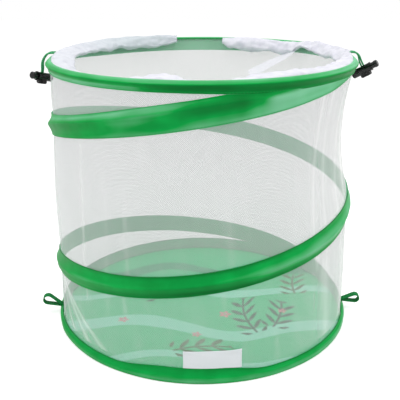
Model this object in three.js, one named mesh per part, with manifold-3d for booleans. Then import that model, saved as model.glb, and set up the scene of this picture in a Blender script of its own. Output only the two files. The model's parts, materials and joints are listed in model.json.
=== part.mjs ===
// A round pop-up net cage. Two fabric-covered wire hoops carry its round net wall.
// One spring-steel wire spirals down the wall in its own sewn sleeve and pushes the hoops apart,
// so the cage springs up by itself and presses flat again.
// Millimetres, Z up. The origin is the middle of the floor's underside, and -Y is the front.
import * as THREE from 'three';
import { mergeVertices } from 'three/addons/utils/BufferGeometryUtils.js';
import Module from 'manifold-3d';

const wasm = await Module();
wasm.setup();

// The cage
const cageHeight = 290;
const topNetRadius = 154.7;
const baseNetRadius = 159.5;
const netThickness = 0.6;
const floorThickness = 1.2;
const fitGap = 0.3;

// Wires and the metal and plastic pieces on them
const wireRadius = 0.75;
const crimpClearance = 0.25;
const crimpWall = 0.3;
const channelClearance = 0.4;
const ferruleLength = 10;
const hoopEndGap = 0.6;
const baseJointAngle = 130;
const rimJointAngle = 100;
const endCapLength = 9;
const endCapTip = 1.5;

// Sewn sleeves, all three with the same channel round their wire
const sleeveCloth = 0.6;
const rimSleeveHeight = 12;
const baseSleeveHeight = 14.5;
const spiralSleeveHeight = 22;

// The spiral, as degrees turned clockwise from +X seen from above, and the height there
const spiralAngles = [22, 45, 60, 90, 180, 270, 360, 450, 540, 630, 676, 706];
const spiralHeightShares = [
  0.995, 0.969, 0.947, 0.903, 0.763, 0.627, 0.492, 0.357, 0.243, 0.12, 0.067, 0.022,
];
const sleeveStartAngle = 25;
const sleeveEndAngle = 705;
const wireStartAngle = 62;
const wireEndAngle = 664;

// The gathered white collar inside the mouth. It runs anticlockwise from collarAngles' first to its
// last, and leaves a short stretch of the rim bare at the back. Its width, drop and crown vary as
// it goes round, by the three rows of shares below the angles.
const collarWidth = 26;
const collarDrop = 12;
const collarCrown = 7;
const collarCloth = 1.2;
const collarSeamDrop = 2.4;
const collarFoldDepth = 1.8;
const collarFolds = 17;
const collarSmallFolds = 23;
const smallFoldShare = 0.5;
const collarAngles = [103, 116, 142, 166, 184, 212, 244, 258, 272, 302, 340, 378, 392, 410, 440];
const collarWidthShares = [
  0.38, 0.48, 0.65, 0.92, 1, 0.77, 0.73, 0.85, 0.66, 0.8, 0.92, 0.73, 0.7, 0.5, 0.38,
];
const collarDropShares = [
  0.57, 0.6, 0.44, 0.26, 0.3, 0.65, 0.48, 0.05, 0.6, 0.1, 0.1, 0.57, 0.7, 0.65, 0.65,
];
const collarRiseShares = [
  0.8, 0.85, 0.66, 0.5, 0.45, 0.05, 0.05, 0.57, 0.05, 0.4, 0.45, 0.4, 0.7, 0.12, 0.6,
];
const collarSteps = 67;
const collarRunShares = [0, 0.25, 0.5, 0.78, 1];
const collarCrownShares = [0, 1, 0.7, 0, 0];
const collarFallShares = [0, 0, 0, 0.45, 1];

// The net flap that hangs from the collar
const flapCloth = 0.8;
const flapTopDrop = 4.1;
const flapFall = 30;
const flapTopWidth = 9;
const flapLowWidth = 14;
const flapWallInset = 10;
const flapLean = 12;
const flapStartAngle = 38;
const flapEndAngle = 63;
const flapRipples = 1.5;
const flapSteps = 10;

// Sewn label and ribbon loops on the base
const labelWidth = 56;
const labelHeight = 19.5;
const labelCloth = 0.6;
const labelMiddleAngle = -86.4;
const ribbonThickness = 0.9;
const ribbonWidth = 6;
const ribbonStandoff = 0.35;
const leftLoop = { angle: 184.6, reach: 21.5, tipRadius: 4.4, rise: 29 };
const rightLoop = { angle: -4.6, reach: 15.5, tipRadius: 4.6, rise: 17 };

// Cord locks: a blind barrel with a boss under its cord slot, a plunger and a spring
const barrelRadius = 4.4;
const barrelInnerLength = 13.5;
const barrelOuterLength = 8;
const barrelEndRound = 1.1;
const barrelLip = 0.35;
const barrelEndWall = 1.8;
const boreRadius = 3.6;
const plungerClearance = 0.3;
const pressTravel = 3;
const strandSpacing = 2.2;
const strandClearance = 0.3;
const slotClearance = 0.4;
const plungerTailLength = 2;
const plungerHeadLength = 3.4;
const plungerHeadRadius = 3.7;
const plungerHeadRound = 0.9;
const plungerStandoff = 15.3;
const bossLength = 12;
const bossWidth = 7.8;
const bossDrop = 3.1;
const bossRound = 0.8;
const bossShift = 1.2;
const cavityLength = 7.6;
const cavityWidth = 5.2;
const cavityDepth = 3;
const springCoilRadius = 2.3;
const springWireRadius = 0.35;
const springTurns = 5;
const knotLength = 6;
const knotWidth = 4;
const knotHeight = 2.4;

// Closure cords, as the routes of their two strands on each side, from the rim's seam to the knot
const cordRadius = 0.9;
const leftLock = { radius: 166.55, angle: -178.62, drop: 23, yaw: -120.3, tilt: 13.6 };
const rightLock = { radius: 169.01, angle: -0.68, drop: 16.5, yaw: -26.3, tilt: 30.5 };
const leftFrontRoute = [
  [-151.2, -8.5, 291.4], [-153.8, -8.5, 291.5], [-156.4, -8.5, 291.2], [-158.8, -8.3, 290.3],
  [-160.7, -8, 288.5], [-162.3, -7.6, 286.5], [-163.6, -7.3, 284.3], [-164.6, -6.6, 282],
  [-165.3, -5.4, 279.9], [-165.8, -4.2, 277.9], [-166.1, -3.4, 275.5], [-166.3, -3.7, 273],
  [-166.6, -4.3, 270.5], [-167, -4.8, 267.9], [-167.3, -5.3, 265.4], [-167.6, -5.8, 262.9],
];
const leftBackRoute = [
  [-151.2, 0.5, 291.4], [-153.7, 0.5, 291.5], [-156.3, 0.5, 291.3], [-158.6, 0.4, 290.3],
  [-160.6, 0.2, 288.7], [-162.2, 0, 286.8], [-163.5, -0.3, 284.6], [-164.4, -0.5, 282.3],
  [-164.8, -0.8, 279.8], [-164.8, -1.1, 277.2], [-165, -1.4, 274.7], [-165.3, -1.9, 272.3],
  [-165.6, -2.4, 269.8], [-165.9, -3, 267.3], [-166.2, -3.5, 264.8], [-166.5, -4, 262.4],
];
const rightFrontRoute = [
  [151.2, -6, 291.4], [153.5, -6, 291.6], [155.8, -6, 291.5], [158, -5.8, 291.1],
  [160, -5.4, 290.1], [161.6, -4.8, 288.6], [162.9, -3.8, 286.9], [163.9, -2.6, 285.3],
  [164.8, -1.5, 283.6], [165.7, -0.8, 281.9], [166.7, -0.9, 280], [167.7, -1.4, 278.1],
  [168.8, -1.9, 276.1], [169.8, -2.4, 274.1], [170.9, -2.9, 272.2], [171.9, -3.4, 270.2],
];
const rightBackRoute = [
  [151.2, 2, 291.4], [153.4, 2, 291.6], [155.6, 2, 291.5], [157.8, 2, 291.2],
  [159.8, 1.8, 290.2], [161.4, 1.5, 288.9], [162.5, 1.2, 287], [163.1, 0.9, 284.8],
  [163.6, 0.7, 282.6], [164.2, 0.4, 280.5], [165.1, -0.1, 278.6], [166.1, -0.6, 276.7],
  [167.2, -1.1, 274.8], [168.2, -1.6, 272.9], [169.2, -2.1, 271], [170.2, -2.6, 269.1],
];

// How finely things are cut
const turnSteps = 72;
const stepAngle = 360 / turnSteps;
const wireSides = 6;
const cordSides = 8;
const curlSteps = 8;
const curlSides = 5;
const roundSides = 20;
const ribbonArcSteps = 12;
const slotArcSteps = 6;
const mergeDistance = 1e-5;
const overrun = 2;

// Sizes that follow from the ones above
const channelRadius = wireRadius + crimpClearance + crimpWall + channelClearance;
const ferruleRadius = wireRadius + crimpClearance + crimpWall;
const rimSleeveFoot = cageHeight - rimSleeveHeight;
const rimMiddle = cageHeight - rimSleeveHeight / 2;
const baseMiddle = baseSleeveHeight / 2;
const slotWidth = 2 * (cordRadius + slotClearance);
const pinchedSlot = strandSpacing + 2 * (cordRadius + strandClearance);

const greenCloth = { color: 0x1f9d52, roughness: 0.55, metalness: 0 };
const whiteCloth = { color: 0xf1f1f5, roughness: 0.8, metalness: 0 };
const paleNet = { color: 0xe6e6ea, roughness: 0.7, metalness: 0 };
const floorCloth = { color: 0x3fae6c, roughness: 0.5, metalness: 0 };
const springSteel = { color: 0x8d9094, roughness: 0.35, metalness: 1 };
const brightSteel = { color: 0xb9bcc0, roughness: 0.3, metalness: 1 };
const greenCord = { color: 0x2c8f55, roughness: 0.8, metalness: 0 };
const blackPlastic = { color: 0x0c0d0e, roughness: 0.35, metalness: 0 };

const habitat = new THREE.Group();

function place(parent, name, geometry, finish) {
  const mesh = new THREE.Mesh(geometry, new THREE.MeshStandardMaterial(finish));
  mesh.name = name;
  parent.add(mesh);
  return mesh;
}

// Booleans

function bare(geometry) {
  const copy = geometry.clone();
  copy.deleteAttribute('normal');
  copy.deleteAttribute('uv');
  return mergeVertices(copy, mergeDistance);
}

function solid(geometry) {
  const merged = bare(geometry);
  const vertProperties = new Float32Array(merged.attributes.position.array);
  const triVerts = new Uint32Array(merged.index.array);
  return new wasm.Manifold(new wasm.Mesh({ numProp: 3, vertProperties, triVerts }));
}

function fromSolid(manifold) {
  const mesh = manifold.getMesh();
  const geometry = new THREE.BufferGeometry();
  geometry.setAttribute('position', new THREE.BufferAttribute(mesh.vertProperties, 3));
  geometry.setIndex(new THREE.BufferAttribute(mesh.triVerts, 1));
  geometry.computeVertexNormals();
  return geometry;
}

// A skin through a row of rings of [x, y, z] points. With an outline the two ends are capped,
// and without one the last ring joins the first.
function skin(rings, outline) {
  const size = rings[0].length;
  const faces = [];
  const spans = outline ? rings.length - 1 : rings.length;
  for (let step = 0; step < spans; step += 1) {
    const here = step * size;
    const next = ((step + 1) % rings.length) * size;
    for (let side = 0; side < size; side += 1) {
      const across = (side + 1) % size;
      faces.push([here + side, here + across, next + across], [here + side, next + across, next + side]);
    }
  }
  if (outline) {
    const end = (rings.length - 1) * size;
    for (const [a, b, c] of THREE.ShapeUtils.triangulateShape(outline, [])) {
      faces.push([a, c, b], [end + a, end + b, end + c]);
    }
  }
  const points = rings.flat();
  const inward = enclosedVolume(points, faces) < 0;
  const geometry = new THREE.BufferGeometry();
  geometry.setAttribute('position', new THREE.Float32BufferAttribute(points.flat(), 3));
  geometry.setIndex(faces.flatMap(([a, b, c]) => (inward ? [a, c, b] : [a, b, c])));
  geometry.computeVertexNormals();
  return geometry;
}

function enclosedVolume(points, faces) {
  let sixfold = 0;
  for (const [a, b, c] of faces) {
    const across = new THREE.Vector3(...points[b]).cross(new THREE.Vector3(...points[c]));
    sixfold += across.dot(new THREE.Vector3(...points[a]));
  }
  return sixfold / 6;
}

function roundOutline(radius, sides) {
  const outline = [];
  for (let side = 0; side < sides; side += 1) {
    const turn = (side * 2 * Math.PI) / sides;
    outline.push(new THREE.Vector2(radius * Math.cos(turn), radius * Math.sin(turn)));
  }
  return outline;
}

// A round wire through points, square to its own path
function wireAlong(points, radius, sides) {
  const outline = roundOutline(radius, sides);
  const up = new THREE.Vector3(0, 0, 1);
  const rings = points.map((point, index) => {
    const before = points[Math.max(index - 1, 0)];
    const after = points[Math.min(index + 1, points.length - 1)];
    const along = after.clone().sub(before).normalize();
    const outward = along.clone().cross(up).normalize();
    const upright = outward.clone().cross(along);
    return outline.map(({ x, y }) => point.clone().addScaledVector(outward, x)
      .addScaledVector(upright, y).toArray());
  });
  return skin(rings, outline);
}

// Least gap between stretches of one wire that lie half a turn or more apart along it
function leastSelfGap(points, radius, stepsPerTurn) {
  let least = Infinity;
  const apart = Math.ceil(stepsPerTurn / 2);
  points.forEach((point, index) => {
    points.slice(index + apart).forEach((other) => {
      least = Math.min(least, point.distanceTo(other) - 2 * radius);
    });
  });
  return least;
}

// Places on the cage

function netRadius(height) {
  return THREE.MathUtils.lerp(baseNetRadius, topNetRadius, height / cageHeight);
}

function onCage(radius, degrees, height) {
  const turn = THREE.MathUtils.degToRad(degrees);
  return new THREE.Vector3(radius * Math.cos(turn), radius * Math.sin(turn), height);
}

const spiralCurve = new THREE.CubicInterpolant(
  Float64Array.from(spiralAngles),
  Float64Array.from(spiralHeightShares),
  1,
);

function spiralHeight(turned) {
  return cageHeight * spiralCurve.evaluate(turned)[0];
}

// The section of every sleeve: a strip that bows out round its wire, open towards the net.
// Each point is how far it stands off the net, and how high it is above the strip's middle.
function sleeveSection(half) {
  const bow = [-45, 0, 45].map((degrees) => THREE.MathUtils.degToRad(degrees));
  const outer = bow.map((turn) => [
    channelRadius + (channelRadius + sleeveCloth) * Math.cos(turn),
    (channelRadius + sleeveCloth) * Math.sin(turn),
  ]);
  const inner = bow.map((turn) => [
    channelRadius + channelRadius * Math.cos(turn),
    channelRadius * Math.sin(turn),
  ]);
  return [
    [fitGap + sleeveCloth, -half],
    ...outer,
    [fitGap + sleeveCloth, half],
    [fitGap, half],
    ...inner.reverse(),
    [fitGap, -half],
  ];
}

function hoopSleeve(foot, height) {
  const middle = foot + height / 2;
  const profile = sleeveSection(height / 2).map(([reach, rise]) => new THREE.Vector2(
    netRadius(middle + rise) + reach,
    middle + rise,
  ));
  profile.push(profile[0].clone());
  return new THREE.LatheGeometry(profile, turnSteps).rotateX(Math.PI / 2);
}

// The spiral sleeve is a strip of constant height. It tapers off where the hoops' sleeves cover it,
// so a ring above and one below trim it there.
function spiralSleeve() {
  const section = sleeveSection(spiralSleeveHeight / 2);
  const outline = section.map(([reach, rise]) => new THREE.Vector2(reach, rise));
  const rings = [];
  for (let turned = sleeveStartAngle; turned <= sleeveEndAngle; turned += stepAngle) {
    const middle = spiralHeight(turned);
    rings.push(section.map(([reach, rise]) => onCage(
      netRadius(middle + rise) + reach,
      -turned,
      middle + rise,
    ).toArray()));
  }
  const span = 2 * (baseNetRadius + 2 * channelRadius + sleeveCloth + overrun);
  const trimDepth = spiralSleeveHeight + overrun;
  const above = new THREE.BoxGeometry(span, span, trimDepth)
    .translate(0, 0, rimSleeveFoot - fitGap + trimDepth / 2);
  const below = new THREE.BoxGeometry(span, span, trimDepth)
    .translate(0, 0, baseSleeveHeight + fitGap - trimDepth / 2);
  return fromSolid(solid(skin(rings, outline)).subtract(solid(above)).subtract(solid(below)));
}

function spiralPoint(turned) {
  const height = spiralHeight(turned);
  return onCage(netRadius(height) + channelRadius, -turned, height);
}

function spiralWirePoints() {
  const points = [];
  const steps = Math.round((wireEndAngle - wireStartAngle) / stepAngle);
  for (let step = 0; step <= steps; step += 1) {
    points.push(spiralPoint(THREE.MathUtils.lerp(wireStartAngle, wireEndAngle, step / steps)));
  }
  return points;
}

// A moulded cap over one end of the spiral wire, blind at the tip
function endCap(end, before) {
  const profile = [
    [0, 0],
    [ferruleRadius - crimpWall, 0],
    [ferruleRadius, crimpWall],
    [ferruleRadius, endCapLength],
    [wireRadius + crimpClearance, endCapLength],
    [wireRadius + crimpClearance, endCapTip],
    [0, endCapTip],
  ].map(([radius, along]) => new THREE.Vector2(radius, along));
  const cap = new THREE.LatheGeometry(profile, wireSides * 2);
  const back = before.clone().sub(end).normalize();
  const turn = new THREE.Quaternion().setFromUnitVectors(new THREE.Vector3(0, 1, 0), back);
  const tip = end.clone().addScaledVector(back, -(endCapTip + crimpClearance));
  return cap.applyQuaternion(turn).translate(tip.x, tip.y, tip.z);
}

// A wire hoop with a small gap between its ends, and the crimped ferrule that joins them
function hoop(middle, jointAngle) {
  const radius = netRadius(middle) + channelRadius;
  const gapAngle = THREE.MathUtils.radToDeg(hoopEndGap / radius);
  const points = [];
  for (let step = 0; step <= turnSteps; step += 1) {
    const share = step / turnSteps;
    points.push(onCage(radius, jointAngle + gapAngle / 2 + share * (360 - gapAngle), middle));
  }
  return wireAlong(points, wireRadius, wireSides);
}

function hoopFerrule(middle, jointAngle) {
  const bore = wireRadius + crimpClearance;
  const profile = [
    [bore, -ferruleLength / 2],
    [ferruleRadius, -ferruleLength / 2],
    [ferruleRadius, ferruleLength / 2],
    [bore, ferruleLength / 2],
    [bore, -ferruleLength / 2],
  ].map(([radius, along]) => new THREE.Vector2(radius, along));
  const centre = onCage(netRadius(middle) + channelRadius, jointAngle, middle);
  return new THREE.LatheGeometry(profile, wireSides * 2)
    .rotateZ(THREE.MathUtils.degToRad(jointAngle))
    .translate(centre.x, centre.y, centre.z);
}

// Cloth

function netWall() {
  const foot = floorThickness + fitGap;
  const top = cageHeight - sleeveCloth;
  const profile = [
    [netRadius(foot), foot],
    [netRadius(top), top],
    [netRadius(top) - netThickness, top],
    [netRadius(foot) - netThickness, foot],
    [netRadius(foot), foot],
  ].map(([radius, height]) => new THREE.Vector2(radius, height));
  return new THREE.LatheGeometry(profile, turnSteps).rotateX(Math.PI / 2);
}

function floorPanel() {
  return new THREE.CylinderGeometry(netRadius(0), netRadius(0), floorThickness, turnSteps)
    .rotateX(Math.PI / 2)
    .translate(0, 0, floorThickness / 2);
}

const collarShape = new THREE.LinearInterpolant(
  Float64Array.from(collarAngles),
  Float64Array.from(collarAngles.flatMap((_, index) => [
    collarWidthShares[index],
    collarDropShares[index],
    collarRiseShares[index],
  ])),
  3,
);

// The collar rises over its seam, then slopes into the mouth. Its inner hem is drawn in,
// so folds run across it and deepen towards the hem.
function collar() {
  const seamRadius = netRadius(cageHeight) - netThickness - fitGap;
  const seamHeight = cageHeight - collarSeamDrop;
  const sections = [];
  for (let step = 0; step <= collarSteps; step += 1) {
    const degrees = THREE.MathUtils.lerp(collarAngles[0], collarAngles.at(-1), step / collarSteps);
    const [widthShare, dropShare, riseShare] = collarShape.evaluate(degrees);
    const phase = THREE.MathUtils.degToRad(degrees);
    const fold = Math.sin(collarFolds * phase) + smallFoldShare * Math.sin(collarSmallFolds * phase + 1);
    const upper = collarRunShares.map((share, index) => {
      const depth = collarFoldDepth * fold * share;
      const rise = collarCrown * riseShare * collarCrownShares[index];
      const fall = (collarDrop * dropShare + depth) * collarFallShares[index];
      return [seamRadius - share * (collarWidth * widthShare - depth / 2), seamHeight + rise - fall];
    });
    const lower = upper.map(([radius, height], index) => [
      radius - (index < 2 ? collarCloth / 2 : -collarCloth / 2),
      height - collarCloth,
    ]);
    sections.push({ degrees, outline: [...upper, ...lower.reverse()] });
  }
  const rings = sections.map(({ degrees, outline }) => outline
    .map(([radius, height]) => onCage(radius, degrees, height).toArray()));
  return skin(rings, sections[0].outline.map(([x, y]) => new THREE.Vector2(x, y)));
}

// A loose corner of the net lid, hung inside the back of the mouth and drawn along the wall
function lidFlap() {
  const rings = [];
  for (let step = 0; step <= flapSteps; step += 1) {
    const share = step / flapSteps;
    const degrees = THREE.MathUtils.lerp(flapStartAngle, flapEndAngle, share);
    const top = cageHeight - flapTopDrop - flapFall * share;
    const width = THREE.MathUtils.lerp(flapTopWidth, flapLowWidth, share);
    const inset = flapWallInset + flapLean * share;
    const ripple = Math.sin(share * flapRipples * 2 * Math.PI) * flapCloth;
    const outer = [0, 0.5, 1].map((down) => [
      netRadius(top) - inset + ripple * down,
      top - down * width,
    ]);
    const inner = outer.map(([radius, height]) => [radius - flapCloth, height]).reverse();
    rings.push([...outer, ...inner]
      .map(([radius, height]) => onCage(radius, degrees, height).toArray()));
  }
  const outline = [[0, 2], [0, 1], [0, 0], [1, 0], [1, 1], [1, 2]]
    .map(([x, y]) => new THREE.Vector2(x, y));
  return skin(rings, outline);
}

function sewnLabel() {
  const foot = baseSleeveHeight + fitGap;
  const half = THREE.MathUtils.radToDeg(labelWidth / 2 / netRadius(foot));
  const steps = Math.round((2 * half) / (stepAngle / 2));
  const section = [
    [fitGap, 0],
    [fitGap + labelCloth, 0],
    [fitGap + labelCloth, labelHeight],
    [fitGap, labelHeight],
  ];
  const rings = [];
  for (let step = 0; step <= steps; step += 1) {
    const degrees = labelMiddleAngle - half + (2 * half * step) / steps;
    rings.push(section.map(([reach, rise]) => onCage(
      netRadius(foot + rise) + reach,
      degrees,
      foot + rise,
    ).toArray()));
  }
  return skin(rings, section.map(([reach, rise]) => new THREE.Vector2(reach, rise)));
}

// A ribbon folded into a teardrop, its two ends together at the ridge of the base sleeve
function ribbonLoop({ angle, reach, tipRadius, rise }) {
  const shape = teardrop(0, ribbonThickness, reach - tipRadius, tipRadius);
  shape.holes.push(teardrop(
    3 * ribbonThickness,
    0,
    reach - tipRadius,
    tipRadius - ribbonThickness,
  ));
  const turn = THREE.MathUtils.degToRad(angle);
  const root = netRadius(baseMiddle) + 2 * channelRadius + sleeveCloth + ribbonStandoff;
  const at = onCage(root, angle, baseMiddle);
  const cut = { depth: ribbonWidth, bevelEnabled: false, curveSegments: ribbonArcSteps };
  return new THREE.ExtrudeGeometry(shape, cut)
    .translate(0, 0, -ribbonWidth / 2)
    .rotateX(Math.PI / 2)
    .rotateY(-THREE.MathUtils.degToRad(rise))
    .rotateZ(turn)
    .translate(at.x, at.y, at.z);
}

function teardrop(start, half, centre, radius) {
  const slope = Math.asin((radius - half) / (centre - start));
  const outline = new THREE.Shape();
  outline.moveTo(start, -half);
  outline.absarc(centre, 0, radius, -Math.PI / 2 - slope, Math.PI / 2 + slope, false);
  if (half > 0) {
    outline.lineTo(start, half);
  }
  outline.closePath();
  return outline;
}

// Cord locks. Each is modelled along X, with its cord slot upright and the strands at x = 0.

function turned(profile, sides) {
  const points = profile.map(([radius, along]) => new THREE.Vector2(radius, along));
  return new THREE.LatheGeometry(points, sides).rotateZ(-Math.PI / 2);
}

// A slot-shaped prism along Z between two heights, with round ends, from one x to another
function slotPrism(from, to, width, low, high) {
  const half = width / 2;
  const shape = new THREE.Shape();
  shape.absarc(to - half, 0, half, -Math.PI / 2, Math.PI / 2, false);
  shape.absarc(from + half, 0, half, Math.PI / 2, 1.5 * Math.PI, false);
  shape.closePath();
  const cut = { depth: high - low, bevelEnabled: false, curveSegments: slotArcSteps };
  return new THREE.ExtrudeGeometry(shape, cut).translate(0, 0, low);
}

function lockBarrel() {
  const inner = -barrelInnerLength;
  const outer = barrelOuterLength;
  const shell = turned([
    [0, inner],
    [barrelRadius - barrelEndRound, inner],
    [barrelRadius - barrelEndRound / 3, inner + barrelEndRound / 3],
    [barrelRadius, inner + barrelEndRound],
    [barrelRadius, outer - 3 * barrelLip],
    [barrelRadius + barrelLip, outer - 2 * barrelLip],
    [barrelRadius + barrelLip, outer],
    [0, outer],
  ], roundSides);
  const bossFrom = bossShift - pressTravel / 2 - bossLength / 2;
  const bossBottom = -barrelRadius - bossDrop;
  const boss = slotPrism(bossFrom, bossFrom + bossLength, bossWidth, bossBottom + bossRound, 0);
  const bossFoot = slotPrism(
    bossFrom + bossRound,
    bossFrom + bossLength - bossRound,
    bossWidth - 2 * bossRound,
    bossBottom,
    bossBottom + bossRound + fitGap,
  );
  const bore = turned([
    [0, inner + barrelEndWall],
    [boreRadius, inner + barrelEndWall],
    [boreRadius, outer + overrun],
    [0, outer + overrun],
  ], roundSides);
  const slotEnd = pinchedSlot / 2;
  const below = bossBottom - overrun;
  const slotStart = slotEnd - pinchedSlot - pressTravel;
  const slot = slotPrism(slotStart, slotEnd, slotWidth, below, barrelRadius + overrun);
  const reach = cavityLength / 2;
  const cavity = slotPrism(-reach, reach, cavityWidth, below, bossBottom + cavityDepth);
  return fromSolid(solid(shell).add(solid(boss)).add(solid(bossFoot)).subtract(solid(bore))
    .subtract(solid(slot)).subtract(solid(cavity)));
}

function plungerTail() {
  return -pinchedSlot / 2 - plungerTailLength;
}

function lockPlunger() {
  const radius = boreRadius - plungerClearance;
  const end = plungerStandoff;
  const neck = end - plungerHeadLength;
  const stem = turned([
    [0, plungerTail()],
    [radius - plungerHeadRound, plungerTail()],
    [radius, plungerTail() + plungerHeadRound],
    [radius, neck - plungerClearance],
    [plungerHeadRadius, neck],
    [plungerHeadRadius, end - plungerHeadRound],
    [plungerHeadRadius - plungerHeadRound, end],
    [0, end],
  ], roundSides);
  const through = boreRadius + overrun;
  const slotEnd = pinchedSlot / 2;
  const slot = slotPrism(-slotEnd, slotEnd + pressTravel, slotWidth, -through, through);
  return fromSolid(solid(stem).subtract(solid(slot)));
}

function lockSpringPoints() {
  const from = -barrelInnerLength + barrelEndWall + fitGap + springWireRadius;
  const to = plungerTail() - fitGap - springWireRadius;
  const points = [];
  const steps = springTurns * curlSteps;
  for (let step = 0; step <= steps; step += 1) {
    const turn = (step * 2 * Math.PI) / curlSteps;
    points.push(new THREE.Vector3(
      THREE.MathUtils.lerp(from, to, step / steps),
      springCoilRadius * Math.cos(turn),
      springCoilRadius * Math.sin(turn),
    ));
  }
  return points;
}

function cordKnot() {
  const middle = -barrelRadius - bossDrop + cavityDepth - fitGap - knotHeight / 2;
  return new THREE.SphereGeometry(1, 12, 8)
    .scale(knotLength / 2, knotWidth / 2, knotHeight / 2)
    .translate(0, 0, middle);
}

function cordTube(route) {
  const points = route.map((point) => new THREE.Vector3(...point));
  const curve = new THREE.CatmullRomCurve3(points, false, 'centripetal');
  const section = new THREE.Shape(roundOutline(cordRadius, cordSides));
  return new THREE.ExtrudeGeometry(section, { steps: points.length - 1, extrudePath: curve });
}

// The base: floor, hoop, sleeve, ribbon loops, label and wall

const base = new THREE.Group();
habitat.add(base);
place(base, 'floor_panel', floorPanel(), floorCloth);
place(base, 'base_hoop', hoop(baseMiddle, baseJointAngle), springSteel);
place(base, 'base_hoop_ferrule', hoopFerrule(baseMiddle, baseJointAngle), brightSteel);
place(base, 'base_rim_sleeve', hoopSleeve(0, baseSleeveHeight), greenCloth);
place(base, 'base_loop_left', ribbonLoop(leftLoop), greenCloth);
place(base, 'base_loop_right', ribbonLoop(rightLoop), greenCloth);
place(base, 'sewn_label', sewnLabel(), whiteCloth);
place(base, 'wall_net', netWall(), paleNet);

// The spiral, its sleeve and the caps on its ends

const wirePoints = spiralWirePoints();
const wireFirst = wirePoints[0];
const wireLast = wirePoints.at(-1);
place(habitat, 'spiral_wire', wireAlong(wirePoints, wireRadius, wireSides), springSteel);
place(habitat, 'spiral_sleeve', spiralSleeve(), greenCloth);
place(habitat, 'spiral_end_cap_upper', endCap(wireFirst, wirePoints[1]), blackPlastic);
place(habitat, 'spiral_end_cap_lower', endCap(wireLast, wirePoints.at(-2)), blackPlastic);
const spiralGap = leastSelfGap(wirePoints, wireRadius, turnSteps);
console.log(`spiral wire: least gap to itself ${spiralGap.toFixed(1)} mm`);

// The top rim: hoop, sleeve, collar and net flap

const rim = new THREE.Group();
habitat.add(rim);
place(rim, 'top_hoop', hoop(rimMiddle, rimJointAngle), springSteel);
place(rim, 'top_hoop_ferrule', hoopFerrule(rimMiddle, rimJointAngle), brightSteel);
place(rim, 'top_rim_sleeve', hoopSleeve(rimSleeveFoot, rimSleeveHeight), greenCloth);
place(rim, 'lid_collar', collar(), whiteCloth);
place(rim, 'lid_net_flap', lidFlap(), paleNet);

// The cord locks on their cords

function closure(side, lock, frontRoute, backRoute) {
  const group = new THREE.Group();
  group.position.copy(onCage(lock.radius, lock.angle, cageHeight - lock.drop));
  group.rotation.set(
    0,
    -THREE.MathUtils.degToRad(lock.tilt),
    THREE.MathUtils.degToRad(lock.yaw),
    'ZYX',
  );
  habitat.add(group);
  const springPoints = lockSpringPoints();
  place(group, `cord_lock_barrel_${side}`, lockBarrel(), blackPlastic);
  place(group, `cord_lock_plunger_${side}`, lockPlunger(), blackPlastic);
  place(group, `cord_lock_spring_${side}`, wireAlong(springPoints, springWireRadius, curlSides), springSteel);
  place(group, `closure_knot_${side}`, cordKnot(), greenCord);
  place(habitat, `closure_cord_${side}_front`, cordTube(frontRoute), greenCord);
  place(habitat, `closure_cord_${side}_back`, cordTube(backRoute), greenCord);
  const springGap = leastSelfGap(springPoints, springWireRadius, curlSteps);
  console.log(`${side} lock spring: least gap to itself ${springGap.toFixed(2)} mm`);
}

closure('left', leftLock, leftFrontRoute, leftBackRoute);
closure('right', rightLock, rightFrontRoute, rightBackRoute);

export default habitat;
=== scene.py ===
import json
import math

import bmesh
import bpy
from mathutils import Matrix, Vector, noise

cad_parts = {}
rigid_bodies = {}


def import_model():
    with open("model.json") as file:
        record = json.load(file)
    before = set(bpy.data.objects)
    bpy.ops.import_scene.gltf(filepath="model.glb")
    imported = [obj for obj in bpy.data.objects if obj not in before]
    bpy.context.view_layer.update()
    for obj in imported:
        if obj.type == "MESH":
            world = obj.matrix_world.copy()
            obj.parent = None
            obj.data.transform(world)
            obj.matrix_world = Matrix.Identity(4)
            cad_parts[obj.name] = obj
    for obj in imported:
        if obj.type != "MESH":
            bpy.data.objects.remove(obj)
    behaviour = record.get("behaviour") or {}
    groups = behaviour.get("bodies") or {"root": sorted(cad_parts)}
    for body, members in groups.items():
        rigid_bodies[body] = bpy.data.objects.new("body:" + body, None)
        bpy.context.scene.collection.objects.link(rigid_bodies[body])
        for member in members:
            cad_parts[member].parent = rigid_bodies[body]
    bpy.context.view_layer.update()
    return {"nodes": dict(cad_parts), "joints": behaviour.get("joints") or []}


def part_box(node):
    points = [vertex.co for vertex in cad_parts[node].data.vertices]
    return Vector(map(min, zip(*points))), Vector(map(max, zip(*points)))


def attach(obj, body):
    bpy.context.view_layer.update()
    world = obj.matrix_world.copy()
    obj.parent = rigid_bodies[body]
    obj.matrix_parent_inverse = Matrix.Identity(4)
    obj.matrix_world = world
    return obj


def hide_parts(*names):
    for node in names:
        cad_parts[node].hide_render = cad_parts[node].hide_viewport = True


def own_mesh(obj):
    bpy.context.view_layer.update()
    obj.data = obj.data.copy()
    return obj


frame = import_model()
mm = 0.001
# Points nearer than this are merged
weld = 0.001 * mm
fullTurn = 2 * math.pi


# Camera, at the photograph's place

camera = {
    "place": (0.0, -0.70787, 0.38031),
    "pitchDown": 0.3414,
    "yaw": 0.003,
    "roll": -0.002,
    "lens": 60.6,
}


def makeCamera():
    data = bpy.data.cameras.new("camera")
    data.lens = camera["lens"]
    data.sensor_width = 36.0
    data.clip_start = 0.01
    data.clip_end = 50.0
    obj = bpy.data.objects.new("camera", data)
    bpy.context.scene.collection.objects.link(obj)
    turn = Matrix.Rotation(camera["yaw"], 4, "Z")
    tilt = Matrix.Rotation(math.pi / 2 - camera["pitchDown"], 4, "X")
    roll = Matrix.Rotation(camera["roll"], 4, "Z")
    obj.matrix_world = Matrix.Translation(camera["place"]) @ turn @ tilt @ roll
    bpy.context.scene.camera = obj


makeCamera()
print("camera placed")


# Small helpers


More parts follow.
